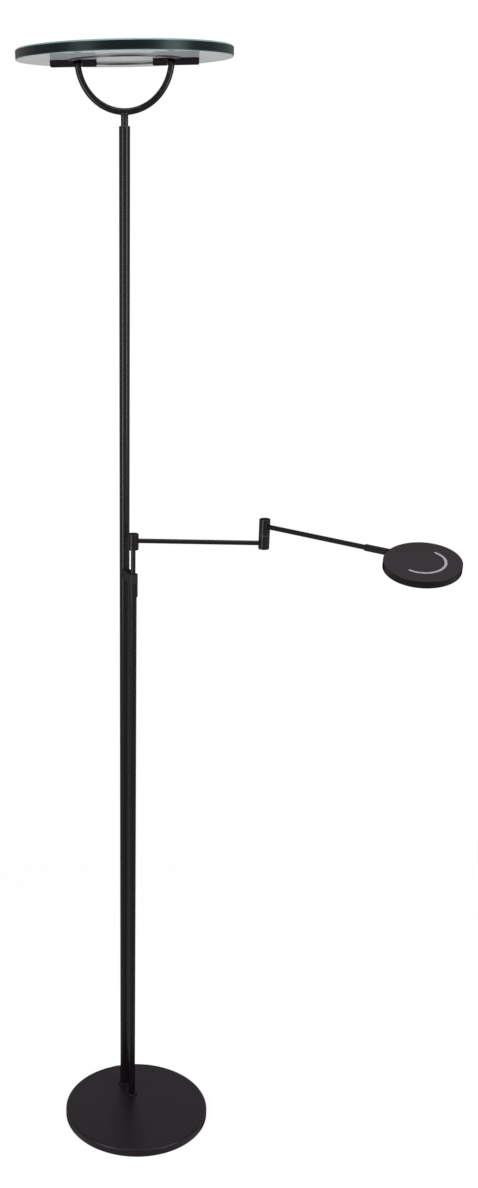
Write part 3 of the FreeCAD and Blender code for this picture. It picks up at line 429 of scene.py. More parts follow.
def rounded(corners, steps=4):
    """A profile whose corners (radius, height, fillet) are replaced by short arcs."""
    line = []
    count = len(corners)
    for i, (r, z, fillet) in enumerate(corners):
        here = Vector((r, z))
        if not fillet:
            line.append((r, z))
            continue
        before = (Vector(corners[i - 1][:2]) - here).normalized()
        after = (Vector(corners[(i + 1) % count][:2]) - here).normalized()
        half = before.angle(after) / 2
        start = here + before * (fillet / math.tan(half))
        end = here + after * (fillet / math.tan(half))
        centre = here + (before + after).normalized() * (fillet / math.sin(half))
        line.append(tuple(start + before * fillet * ring_beside_fillet))
        for k in range(steps + 1):
            along = (start - centre).lerp(end - centre, k / steps)
            point = centre + along.normalized() * fillet
            line.append((point.x, point.y))
        line.append(tuple(end + after * fillet * ring_beside_fillet))
    return line


# %% The lathe
on_axis = 1e-7


def as_mesh(work, name):
    """The finished mesh of a working one."""
    mesh = bpy.data.meshes.new(name)
    work.to_mesh(mesh)
    work.free()
    return mesh


def lathe(profile, segments=96, closed=False):
    """A mesh spun about Z. The profile runs from axis to axis, or closes round a bore."""
    work = bmesh.new()
    angles = [2 * math.pi * k / segments for k in range(segments)]
    rings = []
    for r, z in profile:
        if r < on_axis:
            rings.append([work.verts.new((0, 0, z))])
        else:
            ring = [work.verts.new((r * math.cos(a), r * math.sin(a), z)) for a in angles]
            rings.append(ring)
    above = rings[1:] + rings[:1] if closed else rings[1:]
    for low, high in zip(rings, above):
        for k in range(segments):
            n = (k + 1) % segments
            sides = (low, k), (low, n), (high, n), (high, k)
            unique = list(dict.fromkeys(ring[i % len(ring)] for ring, i in sides))
            if len(unique) > 2:
                work.faces.new(unique)
    bmesh.ops.recalc_face_normals(work, faces=work.faces)
    return as_mesh(work, "turned")


def shifted(mesh, x, y=0.0):
    """The same mesh, moved sideways."""
    mesh.transform(Matrix.Translation((x, y, 0)))
    return mesh


# %% Making a piece of the lamp
bodies = frame["record"]["behaviour"]["bodies"]
node_body = {node: body for body, nodes in bodies.items() for node in nodes}


def dress(node, mesh, finish, name=None, sharp=32.0, place=None):
    """A mesh that rides with a CAD node's body, and stands for the node if it has no name."""
    if place:
        mesh.transform(place)
    mesh.materials.clear()
    mesh.materials.append(finish)
    if not mesh.has_custom_normals:
        mesh.shade_smooth()
        mesh.set_sharp_from_angle(angle=math.radians(sharp))
    obj = bpy.data.objects.new(name or node + "_form", mesh)
    bpy.context.scene.collection.objects.link(obj)
    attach(obj, node_body[node])
    if not name:
        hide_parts(node)
    return obj


def box_corners(node):
    """Lowest and highest corner of a CAD node's box."""
    low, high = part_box(node)
    return Vector(low), Vector(high)


def middle(node):
    """Centre of a CAD node's box."""
    low, high = box_corners(node)
    return (low + high) / 2


pole_axis = middle("main_pole_lower").xy
side_axis = middle("side_tube_lower").xy
for label, axis in (("pole", pole_axis), ("side tube", side_axis)):
    print(label, "at", [round(v * 1000, 2) for v in axis], "mm")

# %% [markdown]
# ## The base
#
# A spun steel cover hides an iron disc, and a soft pad keeps both off the floor. The cover's
# round shoulder catches a thin line of light, so it gets a real arc rather than a bevel. Its
# radii come from the CAD node's box.

# %% Base cover
base_low, base_high = box_corners("base_cover")
base_r = (base_high.y - base_low.y) / 2
cover_wall = 0.0015
cover_r = base_r - cover_wall
cover_outside = rounded([
    (cover_r, base_low.z, 0),
    (base_r, base_low.z, 0.0004),
    (base_r, base_high.z, 0.005),
    (0.0, base_high.z, 0),
], 8)
cover_inside = rounded([
    (0.0, base_high.z - cover_wall, 0),
    (cover_r, base_high.z - cover_wall, 0.0035),
    (cover_r, base_low.z, 0),
], 6)[:-1]
dress("base_cover", lathe(cover_outside + cover_inside, 192, True), base_coat)
print("base radius", round(base_r, 4))

# %% Base pad
pad_low, pad_high = box_corners("base_pad")
pad_r = (pad_high.x - pad_low.x) / 2
pad_edge = 0.0005
groove_h, groove_in, groove_out = 0.0004, 0.001, 0.0015
pad_profile = [(0.0, 0.0)]
for ring in (0.2, 0.4, 0.6, 0.8):
    r = pad_r * ring
    pad_profile += [(r - groove_out, 0.0), (r - groove_in, groove_h)]
    pad_profile += [(r + groove_in, groove_h), (r + groove_out, 0.0)]
pad_profile += [(pad_r - pad_edge, 0.0), (pad_r, pad_edge), (pad_r, pad_high.z), (0.0, pad_high.z)]
dress("base_pad", lathe(pad_profile, 160), pad_rubber)
print("pad radius", round(pad_r, 4))

# %% [markdown]
# ## Geometry Nodes as a helper
#
# Screws, diodes and the bent bow follow a rule, so they are grown by Geometry Nodes. Each tree
# has named sizes, ends by making its instances real and setting the material, and is turned into
# a plain mesh at once, because an exporter drops instances.


# %% Working objects
def held(mesh):
    """A working object for a mesh."""
    obj = bpy.data.objects.new("holder", mesh)
    bpy.context.scene.collection.objects.link(obj)
    return obj


def worked(obj):
    """The mesh of a working object after its modifiers."""
    graph = bpy.context.evaluated_depsgraph_get()
    return bpy.data.meshes.new_from_object(obj.evaluated_get(graph), depsgraph=graph)


# %% Growing a mesh
class Growth(Wiring):
    """A Geometry Nodes tree with named inputs."""

    def __init__(self, name, **sizes):
        super().__init__(bpy.data.node_groups.new(name, "GeometryNodeTree"))
        sockets = self.tree.interface
        for label, value in sizes.items():
            kind = "NodeSocketInt" if isinstance(value, int) else "NodeSocketFloat"
            sockets.new_socket(label, in_out="INPUT", socket_type=kind)
        sockets.new_socket("Geometry", in_out="OUTPUT", socket_type="NodeSocketGeometry")
        self.sizes = sizes
        self.group_in = self.tree.nodes.new("NodeGroupInput")

    def size(self, label):
        """One of the named inputs."""
        return Signal(self, self.group_in.outputs[label])

    def vector(self, x=0.0, y=0.0, z=0.0):
        """A vector of numbers or signals."""
        return self.node("ShaderNodeCombineXYZ", {}, {"X": x, "Y": y, "Z": z})

    def moved(self, geometry, shift=(0, 0, 0), turn=(0, 0, 0)):
        """Geometry after a turn and a shift."""
        moves = {"Geometry": geometry, "Translation": shift, "Rotation": turn}
        return self.node("GeometryNodeTransform", {}, moves)

    def cylinder(self, sides, radius, depth):
        """A cylinder about Z, centred on the origin."""
        sizes = {"Vertices": sides, "Radius": radius, "Depth": depth}
        return self.node("GeometryNodeMeshCylinder", {}, sizes)

    def set_on(self, points, thing, **how):
        """A thing on every point."""
        inputs = {"Points": points, "Instance": thing, **how}
        return self.node("GeometryNodeInstanceOnPoints", {}, inputs)

    def united(self, *solids):
        """Several solids as one."""
        union = self.node("GeometryNodeMeshBoolean", {"operation": "UNION", "solver": "EXACT"})
        for solid in solids:
            self.tree.links.new(solid.socket, union.socket.node.inputs["Mesh 2"])
        return union

    def less(self, solid, tool):
        """A solid with another taken out of it."""
        return self.node(
            "GeometryNodeMeshBoolean",
            {"operation": "DIFFERENCE", "solver": "EXACT"},
            {"Mesh 1": solid, "Mesh 2": tool},
        )

    def grow(self, geometry, finish):
        """Ends the tree, runs it once and returns a plain mesh."""
        real = self.node("GeometryNodeRealizeInstances", {}, {"Geometry": geometry})
        done = self.node("GeometryNodeSetMaterial", {}, {"Geometry": real, "Material": finish})
        self.feed(self.tree.nodes.new("NodeGroupOutput").inputs[0], done)
        holder = held(bpy.data.meshes.new("holder"))
        modifier = holder.modifiers.new("grow", "NODES")
        modifier.node_group = self.tree
        for item in self.tree.interface.items_tree:
            if item.in_out == "INPUT":
                modifier[item.identifier] = self.sizes[item.name]
        mesh = worked(holder)
        holder.modifiers.remove(modifier)
        bpy.data.objects.remove(holder)
        return mesh


# %% [markdown]
# ## Refining a CAD form
#
# Brackets, clevis blocks and hubs have the right shape already, but their edges are knife sharp
# and their round walls are facets. A copy is welded, its flat facets are joined, and a small
# bevel gives each edge the light line that a real moulded or machined edge has. The bevel keeps
# the normals of the faces beside it.


# %% Refined copies
weld = 2e-6
same_plane = math.radians(0.4)
edge_from = math.radians(40)


def refined(node, finish, edge=0.0003, sharp=30.0):
    """A welded copy of a CAD node with softened edges, which stands for the node."""
    work = bmesh.new()
    work.from_mesh(frame["nodes"][node].data)
    bmesh.ops.remove_doubles(work, verts=work.verts, dist=weld)
    bmesh.ops.dissolve_limit(work, angle_limit=same_plane, verts=work.verts, edges=work.edges)
    bmesh.ops.recalc_face_normals(work, faces=work.faces)
    mesh = as_mesh(work, node + "_copy")
    for name in ("custom_normal", "sharp_face", "sharp_edge"):
        if name in mesh.attributes:
            mesh.attributes.remove(mesh.attributes[name])
    mesh.shade_smooth()
    mesh.set_sharp_from_angle(angle=math.radians(sharp))
    holder = held(mesh)
    if edge:
        bevel = holder.modifiers.new("bevel", "BEVEL")
        bevel.width = edge
        bevel.segments = 2
        bevel.limit_method = "ANGLE"
        bevel.angle_limit = edge_from
        bevel.use_clamp_overlap = True
        bevel.harden_normals = True
    finished = worked(holder)
    bpy.data.objects.remove(holder)
    return dress(node, finished, finish, sharp=sharp)


def recoat(finish, *nodes):
    """Gives CAD nodes that stay as they are a better material."""
    for node in nodes:
        for place in frame["nodes"][node].material_slots:
            place.material = finish


# %% [markdown]
# ## The uprights
#
# Two steel tubes stand behind the centre of the base. Each comes in two lengths for its carton,
# and the fine bevels where they meet leave a dark hairline at the same height on both. Turned
# collars hide their feet.


# %% Tubes
tube_walls = {
    "main_pole_lower": 0.0015,
    "main_pole_upper": 0.0015,
    "side_tube_lower": 0.0012,
    "side_tube_upper": 0.0012,
}
hairline = 0.0005


def tube(node, bevel_low=0.0, bevel_high=0.0):
    """An upright tube as a lathe profile, from its CAD node's box."""
    low, high = box_corners(node)
    centre = (low + high) / 2
    r = (high.x - low.x) / 2
    bore = r - tube_walls[node]
    profile = rounded([
        (bore, low.z, 0),
        (r, low.z, bevel_low),
        (r, high.z, bevel_high),
        (bore, high.z, 0),
    ], 3)
    return dress(node, shifted(lathe(profile, 64, True), centre.x, centre.y), satin_coat)


for pipe in ("main_pole", "side_tube"):
    tube(pipe + "_lower", bevel_high=hairline)
    tube(pipe + "_upper", bevel_low=hairline)


# %% Collars, and what is hidden in the base
def collar(node, bore):
    """A low turned ring with a soft shoulder."""
    low, high = box_corners(node)
    centre = (low + high) / 2
    r = (high.x - low.x) / 2
    profile = rounded([
        (bore, low.z, 0),
        (r, low.z, 0),
        (r, high.z, 0.001),
        (bore, high.z, 0.0003),
    ], 4)
    return dress(node, shifted(lathe(profile, 96, True), centre.x, centre.y), satin_coat)


collar("main_collar", 0.00855)
collar("side_collar", 0.0063)
recoat(zinc, "main_pole_stud", "side_tube_stud", "foot_washers", "foot_nuts")
recoat(zinc, "main_pole_joiner", "side_tube_joiner")
recoat(cast_iron, "base_weight")
recoat(driver_case, "led_driver")
recoat(lead_sheath, "main_lead")
gland = refined("cable_gland", moulded_black, 0.0004)
print("cable gland", len(gland.data.polygons), "faces")

# %% [markdown]
# ## The bracket
#
# A moulded link clips the side tube to the pole, and a skirt hangs below it on the right. In the
# picture it is a touch browner and rougher than the coated steel, as filled plastic is.

# %% Bracket, bushes and set screws
milled_edge = 0.0004
screw_edge = 0.0001
refined("arm_bracket", bracket_plastic, milled_edge)
refined("bracket_set_screw", oxide, screw_edge)
recoat(oxide, "bracket_screw")
recoat(moulded_black, "rod_guide_bush", "rod_stop")
refined("pole_top_bush", moulded_black, 0.0002)
print("bracket", [round(v, 4) for v in middle("arm_bracket")])

# %% [markdown]
# ## The bow
#
# The glass hangs in a half-round bow with an eye at each end. A bent tube is a circle swept along
# an arc, so Geometry Nodes sweep it, join the two eyes to it and bore them. The CAD joint gives
# the tilt axis, and with it the place and lean of everything on the bow.

# %% Where the bow and the glass stand
tilt_place = Vector(joints["uplighter_tilt"]["pos_m"])
tilt_axis = Vector(joints["uplighter_tilt"]["axis"]).normalized()
up = Vector((0, 0, 1))
across = up.cross(tilt_axis).normalized()
upright = tilt_axis.cross(across)
uplighter_turn = Matrix((tilt_axis, across, upright)).transposed().to_4x4()
uplighter_place = Matrix.Translation(tilt_place) @ uplighter_turn
glass_foot = 0.0054
glass_t = 0.0145
glass_top = glass_foot + glass_t
bow_r = 0.0707
bow_from = math.asin(glass_foot / bow_r)
eye_mid = math.sqrt(bow_r**2 - glass_foot**2)
print("tilt axis", [round(v, 4) for v in tilt_axis], "at", [round(v, 4) for v in tilt_place])

# %% Bow
bow = Growth(
    "bow",
    Radius=bow_r,
    Tube=0.0048,
    Eye=0.0042,
    Eye_Width=0.0108,
    Eye_Out=eye_mid,
    Bore=0.00155,
    Start=bow_from,
    Sweep=math.pi - 2 * bow_from,
)
quarter = math.pi / 2
bend = {
    "Resolution": 97,
    "Radius": bow.size("Radius"),
    "Start Angle": bow.size("Start"),
    "Sweep Angle": bow.size("Sweep"),
}
arc = bow.node("GeometryNodeCurveArc", {"mode": "RADIUS"}, bend)
section = bow.node(
    "GeometryNodeCurvePrimitiveCircle",
    {"mode": "RADIUS"},
    {"Resolution": 40, "Radius": bow.size("Tube")},
)
swept = bow.node(
    "GeometryNodeCurveToMesh",
    {},
    {"Curve": arc, "Profile Curve": section, "Fill Caps": True},
)
swept = bow.moved(swept, (0, 0, glass_foot), (-quarter, 0, 0))
eye = bow.cylinder(64, bow.size("Eye"), bow.size("Eye_Width"))
eye_right = bow.moved(eye, bow.vector(x=bow.size("Eye_Out")), (0, quarter, 0))
eye_left = bow.moved(eye, bow.vector(x=0 - bow.size("Eye_Out")), (0, quarter, 0))
drill = bow.moved(bow.cylinder(32, bow.size("Bore"), 0.3), turn=(0, quarter, 0))
bow_mesh = bow.grow(bow.less(bow.united(swept, eye_right, eye_left), drill), satin_coat)
dress("yoke_bow", bow_mesh, satin_coat, place=uplighter_place)
refined("neck_pin", satin_coat, 0.0003)
recoat(oxide, "neck_circlip")
print("bow", len(bow_mesh.polygons), "faces")

# %% [markdown]
# ## The clevis blocks
#
# Two black blocks are screwed up to the glass, one at each end of the bow. Each is cut as a
# clevis for the bow's eye and grooved for the light ring. They are milled and coated, so a copy
# of the solid with fine bevels is enough.

# %% Blocks, tilt screws and friction washers
right_block = refined("pivot_block_right", satin_coat, milled_edge)
left_block = refined("pivot_block_left", satin_coat, milled_edge)
refined("tilt_screws", oxide, screw_edge)
recoat(nylon, "tilt_washers")
print("blocks", [len(block.data.polygons) for block in (right_block, left_block)], "faces")

# %% [markdown]
# ## The glass disc
#
# The glass is a plain disc with a wider bevel on top than below. It is turned, and then four
# holes are bored through it. Its bevels are ground and its rim is polished, so those faces get a
# glass of their own, found by how far their normals lean.


# %% Boring holes
def cut(mesh, cutter):
    """A mesh with another mesh taken out of it."""
    solid, other = held(mesh), held(cutter)
    tool = solid.modifiers.new("cut", "BOOLEAN")
    tool.operation = "DIFFERENCE"
    tool.solver = "EXACT"
    tool.object = other
    result = worked(solid)
    for obj in (solid, other):
        bpy.data.objects.remove(obj)
    return result


def merged(meshes):
    """Several meshes as one."""
    work = bmesh.new()
    for mesh in meshes:
        work.from_mesh(mesh)
    return as_mesh(work, "merged")


def plug(r, z0, z1, x=0.0):
    """A plain cylinder to cut with."""
    return shifted(lathe([(0, z0), (r, z0), (r, z1), (0, z1)], 48), x)


# %% Glass disc
glass_r = 0.1634
bevel_below, bevel_above = 0.0008, 0.002
screw_out = (0.05229, 0.10269)
disc_mesh = lathe([
    (0.0, glass_foot),
    (glass_r - bevel_below, glass_foot),
    (glass_r, glass_foot + bevel_below),
    (glass_r, glass_top - bevel_above),
    (glass_r - bevel_above, glass_top),
    (0.0, glass_top),
], 256)
bore_r = 0.0035
bores = [
    plug(bore_r, glass_foot - 0.01, glass_foot + 0.03, side * x)
    for x in screw_out
    for side in (-1, 1)
]
disc_mesh = cut(disc_mesh, merged(bores))


# %% Kinds of glass on the disc
upright_lean, flat_lean = 0.1, 0.95
beyond_bores = 0.16


def glass_kind(face):
    """0 for a flat face or a bore, 1 for a ground bevel, 2 for the rim."""
    lean = abs(face.normal.z)
    if upright_lean < lean < flat_lean:
        return 1
    return 2 if lean < flat_lean and face.center.xy.length > beyond_bores else 0


def second_finishes(mesh, kinds, *finishes):
    """Gives the faces of a dressed mesh further finishes: 0 keeps the first one."""
    for finish in finishes:
        mesh.materials.append(finish)
    for face, kind in zip(mesh.polygons, kinds):
        face.material_index = kind


kinds = [glass_kind(f) for f in disc_mesh.polygons]
dress("glass_disc", disc_mesh, clear_glass, place=uplighter_place)
second_finishes(disc_mesh, kinds, ground_glass, rim_glass)
print("glass faces: clear, ground, rim", [kinds.count(k) for k in range(3)])

# %% [markdown]
# ## The light ring
#
# A drawn channel lies against the underside of the glass, between the blocks. It holds a
# ring-shaped board whose diodes shine up through the glass. The channel is a closed profile on
# the lathe, and Geometry Nodes set one diode on each point of a circle.

# %% Channel and board
ring_in, ring_out, ring_h = 0.07769, 0.08469, 0.0024
ring_low = glass_foot - ring_h
ring_wall = 0.0008
ring_floor = ring_low + 0.0006
board_t = 0.0008
channel = rounded([
    (ring_in, ring_low, 0.0003),
    (ring_out, ring_low, 0.0003),
    (ring_out, glass_foot, 0),
    (ring_out - ring_wall, glass_foot, 0),
    (ring_out - ring_wall, ring_floor, 0),
    (ring_in + ring_wall, ring_floor, 0),
    (ring_in + ring_wall, glass_foot, 0),
    (ring_in, glass_foot, 0),
], 3)
dress("led_carrier_ring", lathe(channel, 192, True), black_anodised, place=uplighter_place)
recoat(circuit_board, "led_board")
print("channel", len(channel), "points round")

# %% Diodes
chip_h = 0.0006
diodes = Growth(
    "ring_diodes",
    Count=60,
    Radius=(ring_in + ring_out) / 2,
    Length=0.0028,
    Width=0.0022,
    Height=chip_h,
)
round_ring = {"Vertices": diodes.size("Count"), "Radius": diodes.size("Radius")}
circle = diodes.node("GeometryNodeMeshCircle", {}, round_ring)
chip_size = diodes.vector(diodes.size("Width"), diodes.size("Length"), diodes.size("Height"))
chip = diodes.node("GeometryNodeMeshCube", {}, {"Size": chip_size})
outwards = {"Vector": diodes.node("GeometryNodeInputPosition")}
facing = diodes.node("FunctionNodeAlignRotationToVector", {"axis": "X"}, outwards)
chips_mesh = diodes.grow(diodes.set_on(circle, chip, Rotation=facing), phosphor)
on_board = Matrix.Translation((0, 0, ring_floor + board_t + chip_h / 2))
dress("led_board", chips_mesh, phosphor, "ring_diodes", place=uplighter_place @ on_board)
print("ring diodes", len(chips_mesh.polygons) // 6)

# %% [markdown]
# ## Screws through the glass
#
# Four round-headed screws with soft flanged washers hold the glass to the blocks. One screw is
# built from a cylinder, a shallow cone and a hexagon socket, and set on four points.

# %% Glass screws
washer_t = 0.001
shank_h, shank_in_head = 0.0188, 0.0002
key_h, socket_floor = 0.003, 0.0012
four = Growth(
    "glass_screws",
    Near=screw_out[0],
    Far=screw_out[1],
    Head=0.0045,
    Head_Height=0.0016,
    Crown=0.0008,
    Shank=0.002,
    Socket=0.0014,
    Top=glass_top + washer_t,
)
points = four.node("GeometryNodeJoinGeometry")
for side in (-1, 1):
    near = four.vector(x=four.size("Near") * side)
    far = four.vector(x=four.size("Far") * side)
    two = {"Count": 2, "Start Location": near, "Offset": far}
    ends = four.node("GeometryNodeMeshLine", {"mode": "END_POINTS"}, two)
    four.tree.links.new(ends.socket, points.socket.node.inputs[0])
head = four.cylinder(40, four.size("Head"), four.size("Head_Height"))
head = four.moved(head, four.vector(z=four.size("Head_Height") * 0.5))
cone = {
    "Vertices": 40,
    "Radius Bottom": four.size("Head"),
    "Radius Top": four.size("Head") - four.size("Crown"),
    "Depth": four.size("Crown"),
}
crown = four.moved(
    four.node("GeometryNodeMeshCone", {}, cone), four.vector(z=four.size("Head_Height"))
)
shank = four.cylinder(24, four.size("Shank"), shank_h)
shank = four.moved(shank, (0, 0, shank_in_head - shank_h / 2))
key = four.cylinder(6, four.size("Socket"), key_h)
key = four.moved(key, (0, 0, socket_floor + key_h / 2))
screw = four.less(four.united(head, crown, shank), key)
screws = four.moved(four.set_on(points, screw), four.vector(z=four.size("Top")))
screws_mesh = four.grow(screws, oxide)
dress("glass_screws", screws_mesh, oxide, place=uplighter_place)
print("glass screws", len(screws_mesh.polygons), "faces")

# %% Glass washers
washer_bore, washer_neck, washer_r = 0.0022, 0.0033, 0.0065
washer_top = glass_top + washer_t
washer_profile = rounded([
    (washer_bore, glass_foot, 0),
    (washer_neck, glass_foot, 0),
    (washer_neck, glass_top, 0),
    (washer_r, glass_top, 0),
    (washer_r, washer_top, 0.0004),
    (washer_bore, washer_top, 0),
], 3)
left_to_right = (-screw_out[1], -screw_out[0], screw_out[0], screw_out[1])
washers = [shifted(lathe(washer_profile, 48, True), x) for x in left_to_right]
dress("glass_washers", merged(washers), nylon, place=uplighter_place)
print("glass washers", len(washers))

# %% [markdown]
# ## The lifting rod and the arm
#
# A rod slides in the side tube and carries the hub. The lower arm leaves the hub, and the upper
# arm leaves the elbow above it. Each arm is a tube on the lathe, laid along its heading, which
# the joints give.


# %% Laying a piece along an arm
z_onto_x = Matrix.Rotation(quarter, 4, "Y")


def laid(start, heading, roll=0.0):
    """A frame whose X runs along an arm."""
    turn = Matrix.Rotation(heading, 4, "Z") @ Matrix.Rotation(roll, 4, "X")
    return Matrix.Translation(start) @ turn


swing_at = Vector(joints["arm_swing"]["pos_m"])
elbow_at = Vector(joints["elbow"]["pos_m"])
roll_at = Vector(joints["reading_head_roll"]["pos_m"])
roll_axis = Vector(joints["reading_head_roll"]["axis"])
reach = (elbow_at - swing_at).xy
arm_turn = math.atan2(roll_axis.y, roll_axis.x)
low_place = laid((swing_at.x, swing_at.y, middle("lower_arm").z), math.atan2(reach.y, reach.x))
high_place = laid((elbow_at.x, elbow_at.y, roll_at.z), arm_turn)
print("arm reach", round(reach.length, 4))

# %% Arms
hub_r, in_socket = 0.00925, 0.002
arm_start = hub_r - in_socket
high_end = 0.2134


def arm(node, bore, r, end, place):
    """A plain tube along the X of a frame, from its socket to its end."""
    profile = [(bore, arm_start), (r, arm_start), (r, end), (bore, end)]
    return dress(node, lathe(profile, 64, True), satin_coat, place=place @ z_onto_x)


low_arm = arm("lower_arm", 0.0027, 0.0039, reach.length - arm_start, low_place)
high_arm = arm("upper_arm", 0.0028, 0.004, high_end, high_place)
print("arms", [len(form.data.polygons) for form in (low_arm, high_arm)], "faces")

# %% Lifting rod
rod_low, rod_high = box_corners("lift_rod")
spigot = box_corners("thrust_washer")[0].z
rod_r, spigot_r = 0.004, 0.003
rod_profile = rounded([
    (0.0, rod_low.z, 0),
    (rod_r, rod_low.z, 0.0004),
    (rod_r, spigot, 0.0005),
    (spigot_r, spigot, 0),
    (spigot_r, rod_high.z, 0.0003),
    (0.0, rod_high.z, 0),
], 3)
dress("lift_rod", shifted(lathe(rod_profile, 64), side_axis.x, side_axis.y), satin_coat)
print("rod shoulder", round(spigot, 4))

# %% [markdown]
# ## Hub, elbow and sleeve
#
# These are turned pieces with bevelled rims that catch the light. Copies of the solids keep their
# sockets and bores, and the fine bevel gives their edges a line.

# %% Hub, elbow and sleeve
turned_edge = 0.00025
turned = ("arm_hub", "hub_cap", "knuckle_lower", "knuckle_upper", "knuckle_cap", "head_sleeve")
for node in turned:
    refined(node, satin_coat, turned_edge)
refined("head_neck", satin_coat, 0.0)
refined("elbow_set_screw", oxide, screw_edge)
refined("roll_screw", oxide, screw_edge)
recoat(nylon, "thrust_washer", "elbow_washer")
recoat(zinc, "swing_screw", "elbow_pin", "elbow_screw")
print("turned pieces", len(turned))

# %% [markdown]
# ## The reading head
#
# A flat round cup holds a board and an opal lens, which stands a little proud of the rim. An
# arc-shaped window shows in its top. The cup is turned and then cut by the arc. The head hangs a
# little below the line of its arm and is rolled towards the front. Its top is a soft matt black.
# Its wall has the same coat, but it is painted darker, as painted shade on the side of the head,
# so the wall's faces get a darker copy of the coat, found by their normals before the head is
# tilted.

# %% Place of the head
head_pitch = math.radians(9.4)
head_roll = math.radians(11.9)
head_place = laid(roll_at, arm_turn, head_roll) @ Matrix.Rotation(head_pitch, 4, "Y")
head_r = 0.0602
head_h = 0.012
gap_to_sleeve = 0.0015
head_centre = gap_to_sleeve + head_r
head_top = 0.007
head_low = head_top - head_h
head_frame = head_place @ Matrix.Translation((head_centre, 0, 0))
print("head centre", [round(v, 4) for v in head_frame.translation])

# %% A band along an arc
arc_r, arc_w = 0.0346, 0.0043
cap_steps = 12


def arc_band(mid_r, width, z0, z1, steps=64):
    """A half ring with round ends, on the side away from the arm."""
    outline = []
    for r, sense, end in ((mid_r + width / 2, 1, 1), (mid_r - width / 2, -1, -1)):
        for k in range(steps + 1):
            a = sense * (-quarter + math.pi * k / steps)
            outline.append((r * math.cos(a), r * math.sin(a)))
        for k in range(1, cap_steps):
            a = math.pi * k / cap_steps
            outline.append((-width / 2 * math.sin(a), end * mid_r + width / 2 * math.cos(a)))
    work = bmesh.new()
    low = [work.verts.new((x, y, z0)) for x, y in outline]
    high = [work.verts.new((x, y, z1)) for x, y in outline]
    work.faces.new(reversed(low))
    work.faces.new(high)
    for k in range(len(outline)):
        n = (k + 1) % len(outline)
        work.faces.new((low[k], low[n], high[n], high[k]))
    bmesh.ops.recalc_face_normals(work, faces=work.faces)
    return as_mesh(work, "arc")


# %% Head shell
roof_low = head_top - 0.002
lens_seat = head_low + 0.002
lip_r, room_r = head_r - 0.0016, head_r - 0.0026
beyond = 0.001
shell_profile = rounded([
    (0.0, head_top, 0),
    (head_r, head_top, 0.001),
    (head_r, head_low, 0.0004),
    (lip_r, head_low, 0),
    (lip_r, lens_seat, 0),
    (room_r, lens_seat, 0),
    (room_r, roof_low, 0),
    (0.0, roof_low, 0),
], 5)
arc_slot = arc_band(arc_r, arc_w, roof_low - beyond, head_top + beyond)
neck_bore = plug(0.004, 0.0, 0.004)
neck_bore.transform(Matrix.Translation((-head_centre, 0, 0)) @ z_onto_x)
shell_mesh = cut(cut(lathe(shell_profile, 160), arc_slot), neck_bore)


def on_wall(face):
    """True for the wall, with most of its fillets."""
    outermost = face.center.xy.length > head_r - 0.0012
    return outermost and face.normal.z < 0.6


# The wall's faces take the darker copy: painted shade on the side of the head.
painted_shade_faces = [int(on_wall(f)) for f in shell_mesh.polygons]
dress("reading_head_shell", shell_mesh, head_coat, place=head_frame)
second_finishes(shell_mesh, painted_shade_faces, shaded_wall_coat)
print("head wall", sum(painted_shade_faces), "of", len(painted_shade_faces), "faces")

# %% Window, lens and boards
sunk, flange_w, flange_t = 0.0001, 0.003, 0.0012
window_mesh = merged([
    arc_band(arc_r, arc_w, roof_low, head_top - sunk),
    arc_band(arc_r, arc_w + flange_w, roof_low - flange_t, roof_low),
])
dress("arc_window", window_mesh, window_grey, place=head_frame)
lens_r = head_r - 0.0018
proud_r = lens_r - 0.001
lens_low = head_low - 0.0013
lens_profile = rounded([
    (0.0, lens_low, 0),
    (proud_r, lens_low, 0.0006),
    (proud_r, head_low, 0),
    (lens_r, head_low, 0),
    (lens_r, lens_seat, 0),
    (0.0, lens_seat, 0),
], 4)
dress("reading_lens", lathe(lens_profile, 160), opal, place=head_frame)
recoat(aluminium, "heat_spreader")
recoat(circuit_board, "reading_led_board")
recoat(oxide, "head_screws")

# %% [markdown]
# ## Floor, sky and lamps
#
# The background is plain white, and the floor is white too. Rays from the camera, and those seen
# in gloss or glass, find a white of strength one, while the light that falls on the lamp is
# weaker, so black stays black. Near the lamp the floor keeps a faint shadow, and further out it
# fades into the sky, so no horizon shows. Two soft boxes draw the long bright lines down the
# tubes. Their lower edges are set by the heights at which those lines fade in the picture, and
# the right one alone reaches high enough to be mirrored in the rim of the glass.

# %% Rays that see the studio
def seeing_rays(wiring):
    """1 for rays of the camera and rays seen in gloss or glass, 0 for falling light."""
    paths = wiring.node("ShaderNodeLightPath")
    in_glass = paths.output("Is Transmission Ray")
    return paths.output("Is Camera Ray") + paths.output("Is Glossy Ray") + in_glass


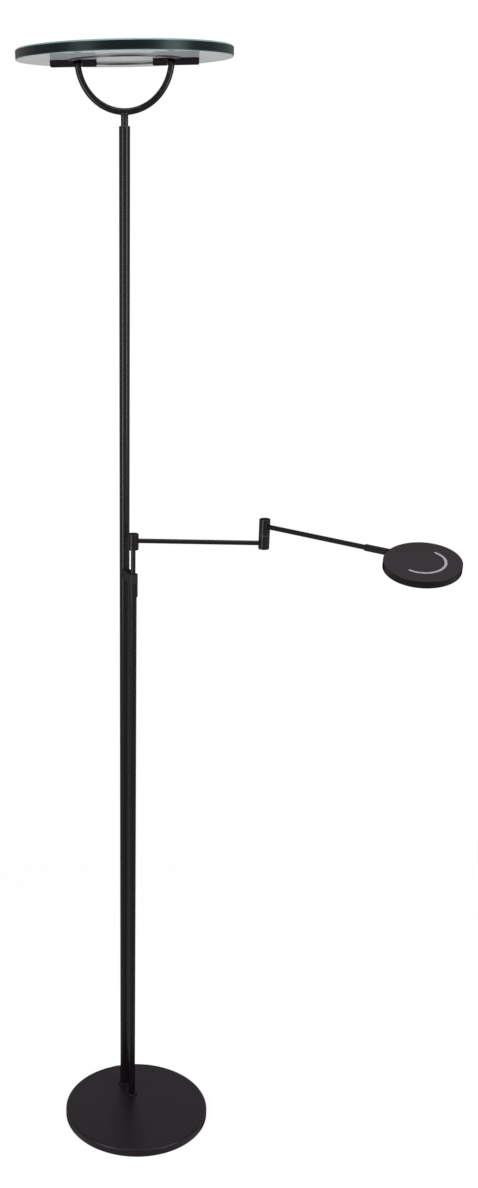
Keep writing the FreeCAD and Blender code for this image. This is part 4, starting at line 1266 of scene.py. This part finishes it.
# %% Floor
half = 12.0
shadow_near, shadow_gone = 0.3, 1.6
near_glow = 0.78
floor_corners = [(-half, -half, 0), (half, -half, 0), (half, half, 0), (-half, half, 0)]
floor_mesh = bpy.data.meshes.new("studio_floor")
floor_mesh.from_pydata(floor_corners, [], [(0, 1, 2, 3)])
floor = bpy.data.objects.new("studio_floor", floor_mesh)
bpy.context.scene.collection.objects.link(floor)
floor_finish = Finish("pale_studio_floor", Roughness=0.9, Specular_IOR_Level=0.1)
mottle = floor_finish.noise(floor_finish.place(), 2.0)
mottled = floor_finish.mix(mottle, shade(238, 238, 238), shade(244, 244, 244))
floor_finish.set("Base Color", mottled)
glow = floor_finish.node("ShaderNodeEmission", {}, {"Color": white, "Strength": 1.0})
how_far = floor_finish.node(
    "ShaderNodeVectorMath", {"operation": "LENGTH"}, {0: floor_finish.place()}
).output("Value")
fade = floor_finish.node(
    "ShaderNodeMapRange",
    {"interpolation_type": "SMOOTHSTEP"},
    {"Value": how_far, "From Min": shadow_near, "From Max": shadow_gone},
)
glow_share = seeing_rays(floor_finish) * (fade * (1.0 - near_glow) + near_glow)
floor_finish.end(floor_finish.blend(glow_share, floor_finish.glossy(), glow))
floor_mesh.materials.append(floor_finish.material)
print("floor", 2 * half, "m wide")

# %% World
world = bpy.data.worlds.new("studio_world")
bpy.context.scene.world = world
world.use_nodes = True
sky = Wiring(world.node_tree)
background = next(n for n in world.node_tree.nodes if n.type == "BACKGROUND")
background.inputs["Color"].default_value = white
falling = 0.3
seen = sky.node("ShaderNodeMath", {"operation": "MINIMUM"}, {0: seeing_rays(sky), 1: 1.0})
sky.feed(background.inputs["Strength"], seen * (1.0 - falling) + falling)
print("falling light from the sky", falling)


# %% Soft lamps
def soft_lamp(name, place, aim, size, watts):
    """A rectangular area lamp that points at a spot."""
    data = bpy.data.lights.new(name, "AREA")
    data.shape = "RECTANGLE"
    data.size, data.size_y = size
    data.energy = watts
    obj = bpy.data.objects.new(name, data)
    obj.location = place
    obj.rotation_euler = (Vector(aim) - Vector(place)).to_track_quat("-Z", "Y").to_euler()
    bpy.context.scene.collection.objects.link(obj)


soft_lamp("left_softbox", (-1.72, -0.95, 1.25), (0, 0.08, 1.25), (0.7, 1.4), 62.0)
soft_lamp("right_softbox", (1.2, -1.75, 1.62), (0, 0.08, 1.62), (0.9, 1.35), 70.0)
soft_lamp("top_panel", (0.0, -0.2, 3.0), (0, 0, 0), (1.2, 1.2), 32.0)
bpy.context.scene.view_settings.view_transform = "Standard"
print("lamps", sorted(light.name for light in bpy.data.lights))

# %% [markdown]
# ## Last update
#
# The view layer is brought up to date once more at the end.

# %% Last update
bpy.context.view_layer.update()
